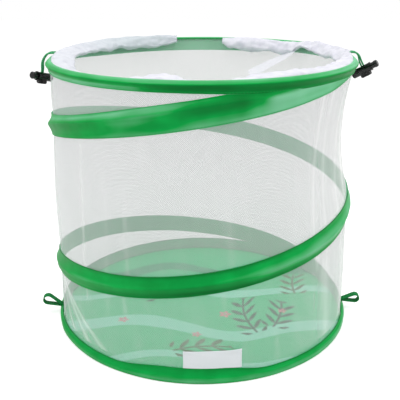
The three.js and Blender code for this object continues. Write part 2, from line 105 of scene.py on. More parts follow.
def hexColour(code):
    channels = [int(code[i:i + 2], 16) / 255 for i in (0, 2, 4)]
    linear = [c / 12.92 if c <= 0.04045 else ((c + 0.055) / 1.055) ** 2.4 for c in channels]
    return (*linear, 1.0)


def feed(node, inputs):
    # Inputs go by name or in order. Each is a node or a socket to link, or a value or hex colour to set.
    for name, value in inputs.items() if isinstance(inputs, dict) else enumerate(inputs):
        if isinstance(value, bpy.types.Node):
            value = next(socket for socket in value.outputs if socket.enabled)
        if isinstance(value, bpy.types.NodeSocket):
            node.id_data.links.new(value, node.inputs[name])
        else:
            node.inputs[name].default_value = hexColour(value) if isinstance(value, str) else value


def addNode(tree, kind, inputs=(), **settings):
    node = tree.nodes.new("ShaderNode" + kind)
    for name, value in settings.items():
        setattr(node, name, value)
    feed(node, inputs)
    return node


def newMaterial(name, inputs):
    material = bpy.data.materials.new(name)
    material.use_nodes = True
    shader = material.node_tree.nodes["Principled BSDF"]
    feed(shader, inputs)
    return material, material.node_tree, shader


def lerp(a, b, share):
    return a + (b - a) * share


def smooth(low, high, value):
    share = min(1.0, max(0.0, (value - low) / (high - low)))
    return share * share * (3 - 2 * share)


def bump(centre, halfWidth, value):
    return 1 - smooth(0.0, halfWidth, abs(value - centre))


def noiseAt(*place):
    return noise.noise(Vector(place))


def bumps(rows, value):
    # Each row is a centre, a half width and an amount
    return sum(amount * bump(centre, half, value) for centre, half, amount in rows)


def angleFrom(centre, degrees):
    return (degrees - centre + 180) % 360 - 180


def stretch(centre, inner, outer, degrees):
    # 1 within the inner angle from the centre, falling to 0 at the outer one
    return 1 - smooth(inner, outer, abs(angleFrom(centre, degrees)))


def stretches(rows, degrees):
    # Each row is a centre, an inner and an outer angle, and an amount
    return sum(row[3] * stretch(*row[:3], degrees) for row in rows)


def through(table, value):
    # A smooth line through rows of (place, value, value...), flat beyond both ends
    if value <= table[0][0]:
        return table[0][1:]
    for before, after in zip(table, table[1:]):
        if value <= after[0]:
            share = smooth(before[0], after[0], value)
            return tuple(lerp(a, b, share) for a, b in zip(before[1:], after[1:]))
    return table[-1][1:]


def alongPoints(points, share):
    # A Catmull-Rom line through evenly spaced points
    spans = len(points) - 1
    index = min(int(share * spans), spans - 1)
    t = share * spans - index
    p0 = points[max(index - 1, 0)]
    p1 = points[index]
    p2 = points[index + 1]
    p3 = points[min(index + 2, spans)]
    return tuple(
        0.5 * (2 * b + (c - a) * t + (2 * a - 5 * b + 4 * c - d) * t * t + (3 * b - a - 3 * c + d) * t ** 3)
        for a, b, c, d in zip(p0, p1, p2, p3)
    )


def standFor(piece, node, body=None):
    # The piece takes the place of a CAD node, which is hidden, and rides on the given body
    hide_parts(node)
    if body:
        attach(piece, body)


def finishMesh(name, bm, material):
    for face in bm.faces:
        face.smooth = True
    mesh = bpy.data.meshes.new(name)
    bm.to_mesh(mesh)
    bm.free()
    mesh.materials.append(material)
    obj = bpy.data.objects.new(name, mesh)
    bpy.context.scene.collection.objects.link(obj)
    return obj


def stripMesh(steps, size, wrap, marks=None):
    # A flat strip, its UV map in metres, wrapped into place by wrap(share along, share across)
    bm = bmesh.new()
    bmesh.ops.create_grid(bm, x_segments=steps[0], y_segments=steps[1], size=0.5)
    uvMap = bm.loops.layers.uv.new("UVMap")
    for face in bm.faces:
        for loop in face.loops:
            loop[uvMap].uv = ((loop.vert.co.x + 0.5) * size[0], (loop.vert.co.y + 0.5) * size[1])
    mark = bm.verts.layers.float.new("mark")
    for vert in bm.verts:
        u = vert.co.x + 0.5
        v = vert.co.y + 0.5
        vert.co = wrap(u, v)
        vert[mark] = marks(u, v) if marks else 0.0
    return bm


def finishStrip(name, bm, material, thickness=0.0, upward=False):
    # An open strip faces away from the cage's axis, or up
    if any(edge.is_boundary for edge in bm.edges):
        bm.normal_update()
        facing = 0.0
        for face in bm.faces:
            middle = face.calc_center_median()
            facing += face.normal.z if upward else face.normal.x * middle.x + face.normal.y * middle.y
        if facing < 0:
            bmesh.ops.reverse_faces(bm, faces=bm.faces)
    else:
        bmesh.ops.recalc_face_normals(bm, faces=bm.faces)
    obj = finishMesh(name, bm, material)
    if thickness:
        solidify = obj.modifiers.new("cloth", "SOLIDIFY")
        solidify.thickness = thickness
        solidify.offset = -1.0
    return obj


def clothStrip(name, steps, size, wrap, material, thickness=0.0, closed=False, marks=None, upward=False):
    bm = stripMesh(steps, size, wrap, marks)
    if closed:
        bmesh.ops.remove_doubles(bm, verts=bm.verts, dist=weld)
    return finishStrip(name, bm, material, thickness, upward)


# Closure cords, on the routes that the frame holds

cords = {
    "radius": 0.9 * mm,
    "routes": {
        "left_front": [
            (-151.2, -8.5, 291.4), (-153.8, -8.5, 291.5), (-156.4, -8.5, 291.2), (-158.8, -8.3, 290.3),
            (-160.7, -8, 288.5), (-162.3, -7.6, 286.5), (-163.6, -7.3, 284.3), (-164.6, -6.6, 282),
            (-165.3, -5.4, 279.9), (-165.8, -4.2, 277.9), (-166.1, -3.4, 275.5), (-166.3, -3.7, 273),
            (-166.6, -4.3, 270.5), (-167, -4.8, 267.9), (-167.3, -5.3, 265.4), (-167.6, -5.8, 262.9),
        ],
        "left_back": [
            (-151.2, 0.5, 291.4), (-153.7, 0.5, 291.5), (-156.3, 0.5, 291.3), (-158.6, 0.4, 290.3),
            (-160.6, 0.2, 288.7), (-162.2, 0, 286.8), (-163.5, -0.3, 284.6), (-164.4, -0.5, 282.3),
            (-164.8, -0.8, 279.8), (-164.8, -1.1, 277.2), (-165, -1.4, 274.7), (-165.3, -1.9, 272.3),
            (-165.6, -2.4, 269.8), (-165.9, -3, 267.3), (-166.2, -3.5, 264.8), (-166.5, -4, 262.4),
        ],
        "right_front": [
            (151.2, -6, 291.4), (153.5, -6, 291.6), (155.8, -6, 291.5), (158, -5.8, 291.1),
            (160, -5.4, 290.1), (161.6, -4.8, 288.6), (162.9, -3.8, 286.9), (163.9, -2.6, 285.3),
            (164.8, -1.5, 283.6), (165.7, -0.8, 281.9), (166.7, -0.9, 280), (167.7, -1.4, 278.1),
            (168.8, -1.9, 276.1), (169.8, -2.4, 274.1), (170.9, -2.9, 272.2), (171.9, -3.4, 270.2),
        ],
        "right_back": [
            (151.2, 2, 291.4), (153.4, 2, 291.6), (155.6, 2, 291.5), (157.8, 2, 291.2),
            (159.8, 1.8, 290.2), (161.4, 1.5, 288.9), (162.5, 1.2, 287), (163.1, 0.9, 284.8),
            (163.6, 0.7, 282.6), (164.2, 0.4, 280.5), (165.1, -0.1, 278.6), (166.1, -0.6, 276.7),
            (167.2, -1.1, 274.8), (168.2, -1.6, 272.9), (169.2, -2.1, 271), (170.2, -2.6, 269.1),
        ],
    },
    "lengths": {"left_front": 0.0386, "left_back": 0.0381, "right_front": 0.0338, "right_back": 0.0332},
    "braidPitch": 1.6 * mm,
    "colour": "42b474",
    "shade": "1f7d47",
}


def braidedCordMaterial():
    # Braided polyester cord: matt, with small light and dark diamonds where its strands cross: the dark
    # is painted shade in the grooves between the strands
    material, tree, shader = newMaterial("braided polyester cord", {"Roughness": 0.7})
    axes = addNode(tree, "SeparateXYZ", [addNode(tree, "UVMap")]).outputs
    length = sum(cords["lengths"].values()) / len(cords["lengths"])
    along = addNode(tree, "Math", [axes["X"], length / cords["braidPitch"]], operation="MULTIPLY")
    strands = []
    for hand in (3.0, -3.0):
        turn = addNode(tree, "Math", [axes["Y"], hand, along], operation="MULTIPLY_ADD")
        strands.append(addNode(tree, "Math", [turn, 0.5], operation="PINGPONG"))
    crossing = addNode(tree, "Math", strands, operation="MULTIPLY")
    level = addNode(tree, "MapRange", {"Value": crossing, "From Max": 0.125})
    tone = addNode(tree, "Mix", {0: level, 6: cords["shade"], 7: cords["colour"]}, data_type="RGBA")
    relief = addNode(tree, "Bump", {"Height": level, "Strength": 0.6, "Distance": 0.2 * mm})
    feed(shader, {"Base Color": tone, "Normal": relief})
    return material


def cordCurve(name, points, radius, material):
    curve = bpy.data.curves.new(name, "CURVE")
    curve.dimensions = "3D"
    curve.resolution_u = 4
    curve.bevel_depth = radius
    curve.bevel_resolution = 3
    curve.use_fill_caps = True
    spline = curve.splines.new("BEZIER")
    spline.bezier_points.add(len(points) - 1)
    for knot, point in zip(spline.bezier_points, points):
        knot.co = point
        knot.handle_left_type = "AUTO"
        knot.handle_right_type = "AUTO"
    curve.materials.append(material)
    obj = bpy.data.objects.new(name, curve)
    bpy.context.scene.collection.objects.link(obj)
    return obj


cordMaterial = braidedCordMaterial()
for strand, route in cords["routes"].items():
    points = [Vector(point) * mm for point in route]
    hand = strand.split("_")[0]
    piece = cordCurve(f"cord_{strand}", points, cords["radius"], cordMaterial)
    standFor(piece, f"closure_cord_{strand}", f"{hand}_closure")
    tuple(points[0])
print("cords made")


# Floor, backdrop and soft studio light

studio = {
    "floorSize": 8.0,
    "floor": "e9e9ea",
    "floorGlow": 0.5,
    "sky": "fffffd",
    "skyStrength": 0.62,
    "lamps": [
        {"name": "overhead", "place": (-0.1, -0.1, 1.5), "aim": (0, 0, 0.15), "size": 1.6, "power": 11.4},
        {"name": "left", "place": (-1.5, -0.9, 0.9), "aim": (0, 0, 0.15), "size": 1.0, "power": 6.3},
        {"name": "right", "place": (1.4, -0.5, 1.0), "aim": (0, 0, 0.15), "size": 1.0, "power": 6.7},
    ],
}


def seenRays(tree):
    # 1 for what the camera, glass or gloss sees, 0 for the light that falls on things
    rays = addNode(tree, "LightPath").outputs
    seen = rays["Is Camera Ray"]
    for kind in ("Glossy", "Transmission"):
        seen = addNode(tree, "Math", [seen, rays[f"Is {kind} Ray"]], operation="MAXIMUM")
    return seen


def makeStudio():
    world = bpy.data.worlds.new("studio")
    bpy.context.scene.world = world
    world.use_nodes = True
    tree = world.node_tree
    light = addNode(tree, "Background", {"Color": studio["sky"], "Strength": studio["skyStrength"]})
    white = addNode(tree, "Background", {"Color": (1, 1, 1, 1), "Strength": 1.0})
    mix = addNode(tree, "MixShader", [seenRays(tree), light, white])
    feed(tree.nodes["World Output"], {"Surface": mix})

    material = bpy.data.materials.new("white studio paper")
    material.use_nodes = True
    tree = material.node_tree
    tree.nodes.remove(tree.nodes["Principled BSDF"])
    paper = addNode(tree, "BsdfDiffuse", {"Color": studio["floor"]})
    glow = addNode(tree, "Emission", {"Color": (1, 1, 1, 1), "Strength": studio["floorGlow"]})
    bright = addNode(tree, "AddShader", [paper, glow])
    mix = addNode(tree, "MixShader", [seenRays(tree), paper, bright])
    feed(tree.nodes["Material Output"], {"Surface": mix})
    bm = bmesh.new()
    bmesh.ops.create_grid(bm, x_segments=1, y_segments=1, size=studio["floorSize"] / 2)
    floor = finishMesh("studio_floor", bm, material)

    for lamp in studio["lamps"]:
        data = bpy.data.lights.new(lamp["name"], "AREA")
        data.shape = "DISK"
        data.size = lamp["size"]
        data.energy = lamp["power"]
        obj = bpy.data.objects.new(lamp["name"], data)
        bpy.context.scene.collection.objects.link(obj)
        obj.location = lamp["place"]
        obj.rotation_euler = (Vector(lamp["aim"]) - obj.location).to_track_quat("-Z", "Y").to_euler()
    bpy.context.scene.view_settings.view_transform = "Standard"


makeStudio()
print("studio lit")


# Cloths


def satinTapeMaterial(name, values):
    # Woven polyester satin tape: close smooth threads give a deep colour with a soft gloss. Painted light
    # makes it paler where it is drawn flat over the wire and along its hems, painted shade makes it darker
    # where it tucks under, and its side against the net is painted pale for the light that shines through it.
    material, tree, shader = newMaterial(name, {
        "Roughness": 0.48, "Specular IOR Level": 0.06, "Sheen Weight": 0.05, "Sheen Roughness": 0.5})
    place = addNode(tree, "TexCoord").outputs["Object"]
    cloud = addNode(tree, "TexNoise", {"Vector": place, "Scale": 1 / (22 * mm), "Detail": 3.0})
    dye = addNode(tree, "MapRange", {"Value": cloud, "From Min": 0.35, "From Max": 0.65})
    tone = values["shade"]
    # The mark carries painted light and shade: a painted highlight above 0, painted shade below, and painted
    # backlight above 1.5, on the side against the net
    mark = addNode(tree, "Attribute", attribute_name="mark").outputs["Fac"]
    pale = addNode(tree, "MapRange", {"Value": mark})
    dark = addNode(tree, "MapRange", {"Value": mark, "From Max": -1.0})
    inner = addNode(tree, "Math", [mark, 1.5], operation="GREATER_THAN")
    for share, colour in ((dye, "colour"), (pale, "paintedLight"), (dark, "deep"), (inner, "inner")):
        tone = addNode(tree, "Mix", {0: share, 6: tone, 7: values[colour]}, data_type="RGBA")
    # Threads are 0.25 mm apart on the real tape, and drawn 0.9 mm apart so that they show
    twill = addNode(tree, "Mapping", {"Vector": addNode(tree, "UVMap"), "Rotation": (0, 0, math.radians(62)),
                                      "Scale": (1 / (0.9 * mm), 1 / (0.9 * mm), 1)})
    axes = addNode(tree, "SeparateXYZ", [twill]).outputs
    thread = addNode(tree, "Math", [axes["X"], 0.5], operation="PINGPONG")
    woven = addNode(tree, "MapRange", {"Value": thread, "From Max": 0.5, "To Min": 0.94, "To Max": 1.05})
    lit = addNode(tree, "VectorMath", {0: tone, "Scale": woven}, operation="SCALE")
    relief = addNode(tree, "Bump", {"Height": thread, "Strength": 0.2, "Distance": 0.12 * mm})
    feed(shader, {"Base Color": lit, "Normal": relief})
    return material


def netMaterial(name, colour, haze):
    # Knitted polyester net: half-matt threads round small open diamonds, denser where it folds, and there
    # whiter with a painted highlight
    material, tree, shader = newMaterial(name, {
        "Roughness": 0.6, "Specular IOR Level": 0.1, "Sheen Weight": net["sheen"], "Sheen Roughness": 0.25})
    uv = addNode(tree, "UVMap")
    scale = 1 / net["hole"]
    turned = addNode(tree, "Mapping", {"Vector": uv, "Rotation": (0, 0, math.radians(45)),
                                       "Scale": (scale, scale, 1)})
    axes = addNode(tree, "SeparateXYZ", [turned]).outputs
    near = [addNode(tree, "Math", [axes[axis], 0.5], operation="PINGPONG") for axis in ("X", "Y")]
    nearest = addNode(tree, "Math", near, operation="MINIMUM")
    half = net["thread"] / net["hole"] / 2
    cover = addNode(tree, "MapRange", {"Value": nearest, "From Min": half * 0.6, "From Max": half * 1.4,
                                       "To Min": net["solid"], "To Max": haze})
    mark = addNode(tree, "Attribute", attribute_name="mark").outputs["Fac"]
    tone = addNode(tree, "Mix", {0: mark, 6: colour, 7: net["white"]}, data_type="RGBA")
    both = addNode(tree, "Math", [mark, net["folded"], cover], operation="MULTIPLY_ADD", use_clamp=True)
    feed(shader, {"Base Color": tone, "Alpha": both})
    return material


cage = {
    "height": 290 * mm,
    "topRadius": 154.7 * mm,
    "baseRadius": 159.5 * mm,
    "rimFoot": 278 * mm,
    "baseTop": 14.5 * mm,
    # How far in mm the gathered lid draws the rim's crown down, along the front
    "rimDrops": [(-85, 88, 125, 2.7)],
}

net = {
    "thickness": 0.3 * mm,
    "foot": 1.5 * mm,
    "topGap": 0.6 * mm,
    "steps": (640, 120),
    "hole": 1.2 * mm,
    "thread": 0.24 * mm,
    "haze": 0.27,
    "solid": 0.78,
    "folded": 0.3,
    # The thread colour is grey, painted shade on the white net; the next colour is the painted highlight on
    # its folds
    "colour": "c4c3c6",
    "white": "ffffff",
    "sheen": 0.9,
    # How far it sags inward in mm between hoops and spiral: all round, and more or less by the angle
    "sag": 1.0,
    "sags": [(-16, 0, 78, 7.5), (180, 0, 60, -3.4)],
    # Its sag low down, as a share, up to the one height and in full above the other
    "lowShare": -0.12,
    "lowEnds": (60 * mm, 170 * mm),
    # The free height that has the full sag, and how fast less height takes it away
    "fullSpan": 125 * mm,
    "spanPower": 1.4,
    "spanMost": 1.4,
    "wrinkle": 0.35 * mm,
    "wrinkleWidth": 11 * mm,
    "wrinkleLength": 120 * mm,
    "wrinkleFold": 0.12,
    # Degrees at the foot, depth in mm, width in degrees, lean by the top, the heights it lies between
    # in mm, and how closely the net lies folded over itself, which also whitens its threads there with a
    # painted highlight
    "pleats": [
        (-128, 1.8, 4.4, -30, -10, 105, 0.5), (-137, 1.6, 3.8, -24, -10, 105, 0.48),
        (-147, 1.4, 3.4, -18, -10, 100, 0.42), (-158, 1.2, 3.0, -12, -10, 100, 0.36),
        (-36, 0.7, 5.0, -5, -10, 110, 0.3), (-20, 0.6, 4.0, -3, -10, 110, 0.35),
        (-62, 0.3, 1.8, -4, -10, 65, 0.13), (-137, 0.3, 1.6, 1, 50, 235, 0.24),
        (-125, 0.2, 1.5, 0, 50, 230, 0.16), (-116, 0.3, 1.5, -2, 50, 205, 0.22),
        (-80, 0.2, 1.5, -3, 60, 215, 0.14), (-47, 0.4, 1.7, 3, 85, 285, 0.3),
        (-40, 0.4, 1.8, 2, 85, 285, 0.22), (-29, 0.6, 2.3, 5, 85, 310, 0.28),
        (-18, 0.8, 2.4, 4, 85, 310, 0.35), (-9, 0.8, 2.0, 3, 85, 310, 0.38),
        (-177, 0.5, 2.2, 2, 60, 310, 0.22),
    ],
    "fade": 22,
    "slackFade": 60,
    # Where the net lies closer all over, at the sides, its threads painted whiter there as a painted
    # highlight: degrees, half width, how close, and up to what height in mm
    "slack": [(-28, 42, 0.26, 320), (-8, 22, 0.42, 320), (-165, 48, 0.14, 190)],
}

spiral = {
    "angles": [22, 45, 60, 90, 180, 270, 360, 450, 540, 630, 676, 706],
    "heightShares": [0.995, 0.969, 0.947, 0.903, 0.763, 0.627, 0.492, 0.357, 0.243, 0.12, 0.067, 0.022],
    "start": 25,
    "end": 705,
    "height": 22 * mm,
    "tuck": 7 * mm,
    "steps": (1150, 40),
    "seed": 7.7,
    # How the tape departs from its profile, by the angle turned. Its middle is lifted, in mm, and there
    # it also stands out more, as a share. Its upper half is taller and its lower half hangs lower, as
    # shares. It bellies out by some mm about a height in mm over its middle.
    "lifts": [(95, 75, 4.2), (178, 32, -3.0)],
    "lifted": (95, 75, 0.12),
    "taller": [(150, 50, -0.3), (395, 50, 0.2), (512, 40, 0.2)],
    "hang": 0.28,
    "hangStart": (22, 45),
    "hangEnd": (165, 200),
    "bellies": [(540, 60, 1.6, -6, 5), (178, 40, 0.9, -2, 7)],
    # Where it lies flat, tucked under the hoops' sleeves
    "flat": 1.2 * mm,
    "fullStart": (54, 61),
    "fullEnd": (664, 676),
}
spiral["run"] = math.radians(spiral["end"] - spiral["start"]) * cage["topRadius"]


def spiralHeight(turned):
    angles = spiral["angles"]
    shares = spiral["heightShares"]
    last = len(angles) - 1
    index = next((k for k in range(1, last) if turned < angles[k]), last)
    t0, t1 = angles[index - 1], angles[index]
    y0, y1 = shares[index - 1], shares[index]
    before = (t1, y1) if index == 1 else (angles[index - 2], shares[index - 2])
    after = (t0, y0) if index == last else (angles[index + 1], shares[index + 1])
    slope0 = (y1 - before[1]) / (t1 - before[0]) if index > 1 else (y1 - y0) / (t1 - t0)
    slope1 = (after[1] - y0) / (after[0] - t0) if index < last else (y1 - y0) / (t1 - t0)
    span = t1 - t0
    p = (turned - t0) / span
    share = ((2 * p ** 3 - 3 * p ** 2 + 1) * y0 + (p ** 3 - 2 * p ** 2 + p) * span * slope0
             + (3 * p ** 2 - 2 * p ** 3) * y1 + (p ** 3 - p ** 2) * span * slope1)
    return cage["height"] * share


def netRadius(height):
    return lerp(cage["baseRadius"], cage["topRadius"], height / cage["height"])


def onCage(radius, degrees, height):
    turn = math.radians(degrees)
    return Vector((radius * math.cos(turn), radius * math.sin(turn), height))


def netShape(degrees, height):
    # How far the net stands off its straight cone, as it sags between the hoops and the spiral, and
    # how folded it is, which makes it denser and paints a highlight on its threads
    turned = -degrees % 360
    half = spiral["height"] / 2
    stops = [(0.0, cage["baseTop"]), (cage["rimFoot"], cage["height"])]
    for extra in (0, 360):
        if spiral["start"] <= turned + extra <= spiral["end"]:
            middle = spiralHeight(turned + extra)
            stops.append((middle - half, middle + half))
    low = max((top for foot, top in stops if top <= height), default=None)
    high = min((foot for foot, top in stops if foot >= height), default=None)
    if low is None or high is None or any(foot < height < top for foot, top in stops):
        return 0.0, 0.0
    share = (height - low) / (high - low)
    dome = 4 * share * (1 - share)
    depth = mm * (net["sag"] + stretches(net["sags"], degrees))
    depth *= lerp(net["lowShare"], 1.0, smooth(*net["lowEnds"], (low + high) / 2))
    offset = -depth * dome * min(net["spanMost"], ((high - low) / net["fullSpan"]) ** net["spanPower"])
    x = math.radians(degrees) * cage["topRadius"] / net["wrinkleWidth"]
    crumple = noiseAt(x * 0.9 + height * 18, height / net["wrinkleLength"], 3.1)
    crumple += 0.5 * noiseAt(x * 2.3, height / net["wrinkleLength"] * 1.7, 8.4)
    offset += net["wrinkle"] * crumple * min(1.0, 1.6 * dome)
    folded = net["wrinkleFold"] * max(0.0, crumple)
    level = height / mm
    for centre, half, close, head in net["slack"]:
        folded += close * stretch(centre, 0, half, degrees) * smooth(0, net["slackFade"], head - level)
    for centre, deep, wide, lean, foot, head, close in net["pleats"]:
        if foot <= level <= head:
            away = angleFrom(centre + lean * share, degrees) / wide
            ends = smooth(0, net["fade"], level - foot) * smooth(0, net["fade"], head - level)
            wave = math.exp(-(away - 0.6) ** 2) - math.exp(-(away + 0.6) ** 2)
            offset += ends * deep * mm * wave * dome ** 0.5
            folded += ends * close * math.exp(-(away * 1.6) ** 2)
    return offset, min(1.0, folded)


def rimDrop(degrees):
    return mm * stretches(cage["rimDrops"], degrees)


def foldDown(piece):
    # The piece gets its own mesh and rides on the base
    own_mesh(piece)
    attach(piece, "base")


def makeNet():
    foot = net["foot"]
    top = cage["height"] - net["topGap"]

    def heightAt(degrees, v):
        return lerp(foot, top - rimDrop(degrees), v)

    def wrap(u, v):
        height = heightAt(360 * u, v)
        return onCage(netRadius(height) - net["thickness"] + netShape(360 * u, height)[0], 360 * u, height)

    def marks(u, v):
        return netShape(360 * u, heightAt(360 * u, v))[1]

    size = (fullTurn * cage["baseRadius"], top - foot)
    piece = clothStrip("net_wall", net["steps"], size, wrap, whiteNet, closed=True, marks=marks)
    standFor(piece, "wall_net")
    foldDown(piece)


joints = {joint["name"]: joint for joint in frame["joints"]}
whiteNet = netMaterial("knitted polyester net", net["colour"], net["haze"])
makeNet()
print("net wall made")


# Sewn sleeves. Each profile is one strip of tape folded round its wire: from the top edge down the
# outside and back up against the net, as distance off the net and height over the middle.

sleeves = {
    "hoopSteps": (540, 44),
    "outerPoints": 12,
    "rim": [(-1.9, 4.2), (-2.0, 5.4), (-1.1, 6.4), (0.6, 6.5), (2.0, 5.2), (3.3, 2.9), (4.2, 0.9),
            (4.1, -0.6), (2.9, -2.2), (1.9, -3.7), (1.6, -4.9), (1.4, -6.0), (0.5, -6.0), (0.3, -4.0),
            (0.25, 0.0), (0.3, 4.5), (0.1, 5.7), (-1.0, 5.6), (-1.3, 4.6), (-1.6, 4.3)],
    "base": [(0.7, 8.7), (1.3, 8.1), (1.5, 6.2), (2.2, 3.8), (3.1, 1.6), (3.8, -0.2), (4.1, -2.2),
             (4.1, -4.2), (3.9, -5.6), (3.3, -6.6), (2.4, -7.1), (1.3, -7.1), (0.3, -6.6), (0.25, -3.0),
             (0.25, 3.0), (0.3, 6.9), (0.4, 8.3)],
    "spiral": [(0.7, 11.0), (1.2, 10.2), (1.2, 8.6), (1.9, 6.0), (3.2, 2.6), (4.4, 0.6), (4.1, -1.2),
               (3.1, -3.6), (2.1, -6.2), (1.4, -8.6), (1.3, -10.2), (0.7, -11.0), (0.3, -10.4),
               (0.25, -5.0), (0.25, 5.0), (0.3, 10.2), (0.45, 10.8)],
    "colour": "05a648",
    "shade": "03973f",
    # The next three colours are painted light: a painted highlight on faces that meet the lamps, painted
    # shade where the tape tucks under, and painted backlight on the side against the net
    "paintedLight": "86cfa6",
    "deep": "005c22",
    "inner": "7df0b4",
    # Each tape's painted light and shade at six places from its lower edge to its upper one, against the
    # angle: painted highlight above 0, painted shade below
    "toneStops": (0.04, 0.2, 0.38, 0.56, 0.74, 0.92),
    "rimPaintedShading": [
        (0, -0.2, -0.35, -0.3, 0.6, 0.7, 0.7), (20, -0.3, -0.5, -0.6, 0.6, 0.7, 0.65),
        (60, -0.4, -0.75, -0.6, 0.3, 0.4, 0.3), (95, -0.3, -0.75, -0.8, 0.15, 0.35, 0.25),
        (103, -0.1, -0.5, -0.7, 0.25, 0.4, 0.3), (113, 0.45, 0.25, -0.3, 0.3, 0.6, 0.45),
        (132, 0.5, 0.45, -0.4, 0.1, 0.6, 0.4), (180, 0.5, 0.4, -0.5, 0.0, 0.5, 0.35),
        (270, 0.3, 0.0, -0.4, 0.3, 0.5, 0.3), (360, -0.2, -0.35, -0.3, 0.6, 0.7, 0.7),
    ],
    "basePaintedShading": [
        (0, -0.4, 0.0, 0.4, 0.4, 0.1, -0.1), (60, -0.5, 0.2, 0.3, 0.0, -0.2, -0.5),
        (80, -0.6, -0.2, 0.3, 0.0, -0.2, -0.5), (98, -0.6, -0.2, 0.3, 0.0, -0.2, -0.4),
        (130, -0.6, -0.3, 0.2, -0.1, -0.2, -0.4), (160, -0.6, -0.3, -0.1, -0.1, -0.1, -0.2),
        (180, -0.6, -0.1, 0.1, 0.1, 0.0, -0.1), (270, -0.4, 0.2, 0.2, 0.0, 0.0, -0.2),
        (360, -0.4, 0.0, 0.4, 0.4, 0.1, -0.1),
    ],
    "spiralPaintedShading": [
        (25, 0.6, 0.7, 0.65, 0.6, 0.6, 0.5), (44, 0.65, 0.8, 0.75, 0.6, 0.4, 0.2),
        (52, 0.65, 0.85, 0.75, 0.3, -0.3, -0.5), (66, 0.6, 0.8, 0.6, -0.1, -0.5, -0.6),
        (72, 0.5, 0.4, -0.2, -0.3, -0.4, -0.4), (78, 0.4, 0.15, -0.6, -0.7, -0.5, -0.2),
        (90, 0.3, 0.1, -0.65, -0.6, 0.1, -0.1), (102, 0.2, -0.2, 0.1, 0.15, 0.45, 0.1),
        (115, 0.3, 0.05, 0.2, 0.2, 0.5, 0.2), (135, 0.1, -0.1, -0.3, -0.1, 0.5, 0.25),
        (155, -0.1, -0.35, -0.5, -0.2, 0.5, 0.3), (178, 0.0, -0.3, -0.5, -0.1, 0.5, 0.3),
        (200, 0.3, 0.0, -0.4, 0.3, 0.4, 0.2), (345, 0.2, 0.0, -0.3, 0.3, 0.3, 0.1),
        (362, -0.1, -0.1, 0.2, 0.45, 0.2, 0.0), (400, -0.5, -0.3, 0.4, 0.5, 0.1, -0.3),
        (425, -0.6, -0.6, 0.2, 0.4, -0.05, -0.5), (440, -0.9, -0.85, -0.4, 0.05, -0.15, -0.7),
        (455, -0.85, -0.9, -0.5, -0.25, -0.3, -0.7), (475, -0.5, -0.65, -0.25, 0.0, -0.2, -0.5),
        (495, -0.2, -0.2, -0.1, 0.1, -0.1, -0.4), (515, -0.4, -0.4, -0.4, -0.3, -0.3, -0.5),
        (535, -0.3, -0.4, -0.4, -0.3, -0.3, -0.4), (600, 0.3, 0.0, -0.4, 0.3, 0.4, 0.2),
    ],
    "seams": {"top": 0.06, "low": 0.93},
    "stitchPitch": 3.0 * mm,
    "stitchWidth": 0.5 * mm,
    "stitchHeight": 0.22 * mm,
    "wave": 0.5 * mm,
    "waveRuns": (34 * mm, 11 * mm),
    "pucker": 0.22 * mm,
    "puckerPitch": 6.5 * mm,
    # Lengths of the painted sheen streaks along each tape
    "streakRuns": (70 * mm, 18 * mm),
    # How much painted shade darkens each tape's edges, and between which places across it this ends
    "topEdge": (0.935, 0.965, 0.8),
    "lowEdge": (0.02, 0.045, 0.5),
    # Where the rim's crown stands up, in mm, at the back right, and how low its hem hangs, as a share:
    # all round, at the right of the front and along the back
    "rimLifts": [(20, 0, 30, 1.8)],
    "rimHang": 1.12,
    "rimHangs": [(-68, 0, 34, 0.24), (104, 28, 62, 0.43)],
    # The upper half of the base's sleeve lies flatter by this share along both sides. It stands up at
    # the front, behind the label, with its middle, inner angle and outer angles to the left and right,
    # and along the back.
    "baseFlat": 0.66,
    "baseFront": (-93, 10, 30, 27),
    "baseBack": (90, 78, 105),
    # The thickness off the net above which each tape waves freely
    "freeHoop": 2.2 * mm,
    "freeSpiral": 2.0 * mm,
}


def ripple(run, across, seed):
    # Long soft waves in the cloth, and puckers that fade away from the sewn edges
    long, short = sleeves["waveRuns"]
    wave = noiseAt(run / long, across * 2.2, seed) * sleeves["wave"]
    wave += noiseAt(run / short, across * 3.0, seed + 5) * sleeves["wave"] * 0.35
    edge = smooth(0.55, 1.0, abs(across * 2 - 1))
    pucker = noiseAt(run / sleeves["puckerPitch"] * 2, across * 4, seed + 9)
    return wave * (1 - 0.6 * edge) + sleeves["pucker"] * edge * pucker


def outerEnd(profile):
    return (sleeves["outerPoints"] - 1) / (len(profile) - 1)


def toneAcross(share, profile, tones, turned, run, seed):
    # The tape's painted light and shade at one point, with painted sheen streaks and painted shade at its
    # edges, and 2 for the side that lies against the net, which is painted pale as if backlit
    if share > outerEnd(profile):
        return 2.0
    v = 1 - share / outerEnd(profile)
    row = through(tones, turned)
    stops = sleeves["toneStops"]
    index = next((k for k in range(1, len(stops)) if v < stops[k]), len(stops) - 1)
    tone = lerp(row[index - 1], row[index], smooth(stops[index - 1], stops[index], v))
    long, short = sleeves["streakRuns"]
    streak = noiseAt(run / long, v * 9, seed)
    streak += 0.5 * noiseAt(run / short, v * 4, seed)
    topStart, topEnd, topDark = sleeves["topEdge"]
    lowStart, lowEnd, lowDark = sleeves["lowEdge"]
    edges = topDark * smooth(topStart, topEnd, v) + lowDark * (1 - smooth(lowStart, lowEnd, v))
    return max(-1.0, min(1.0, tone * (0.95 + 0.4 * streak) + 0.14 * streak - edges))


def sectionPoint(profile, v, degrees=0.0, pull=None):
    reach, rise = (value * mm for value in alongPoints(profile, 1 - v))
    return pull(degrees, reach, rise) if pull else (reach, rise)


def clothWidth(profile, pull=None):
    # The mean width of the cloth round the hoop
    turns = range(0, 360, 15) if pull else [0]
    total = 0.0
    for degrees in turns:
        spots = [Vector(sectionPoint(profile, step / 60, degrees, pull)) for step in range(61)]
        total += sum((b - a).length for a, b in zip(spots, spots[1:]))
    return total / len(turns)


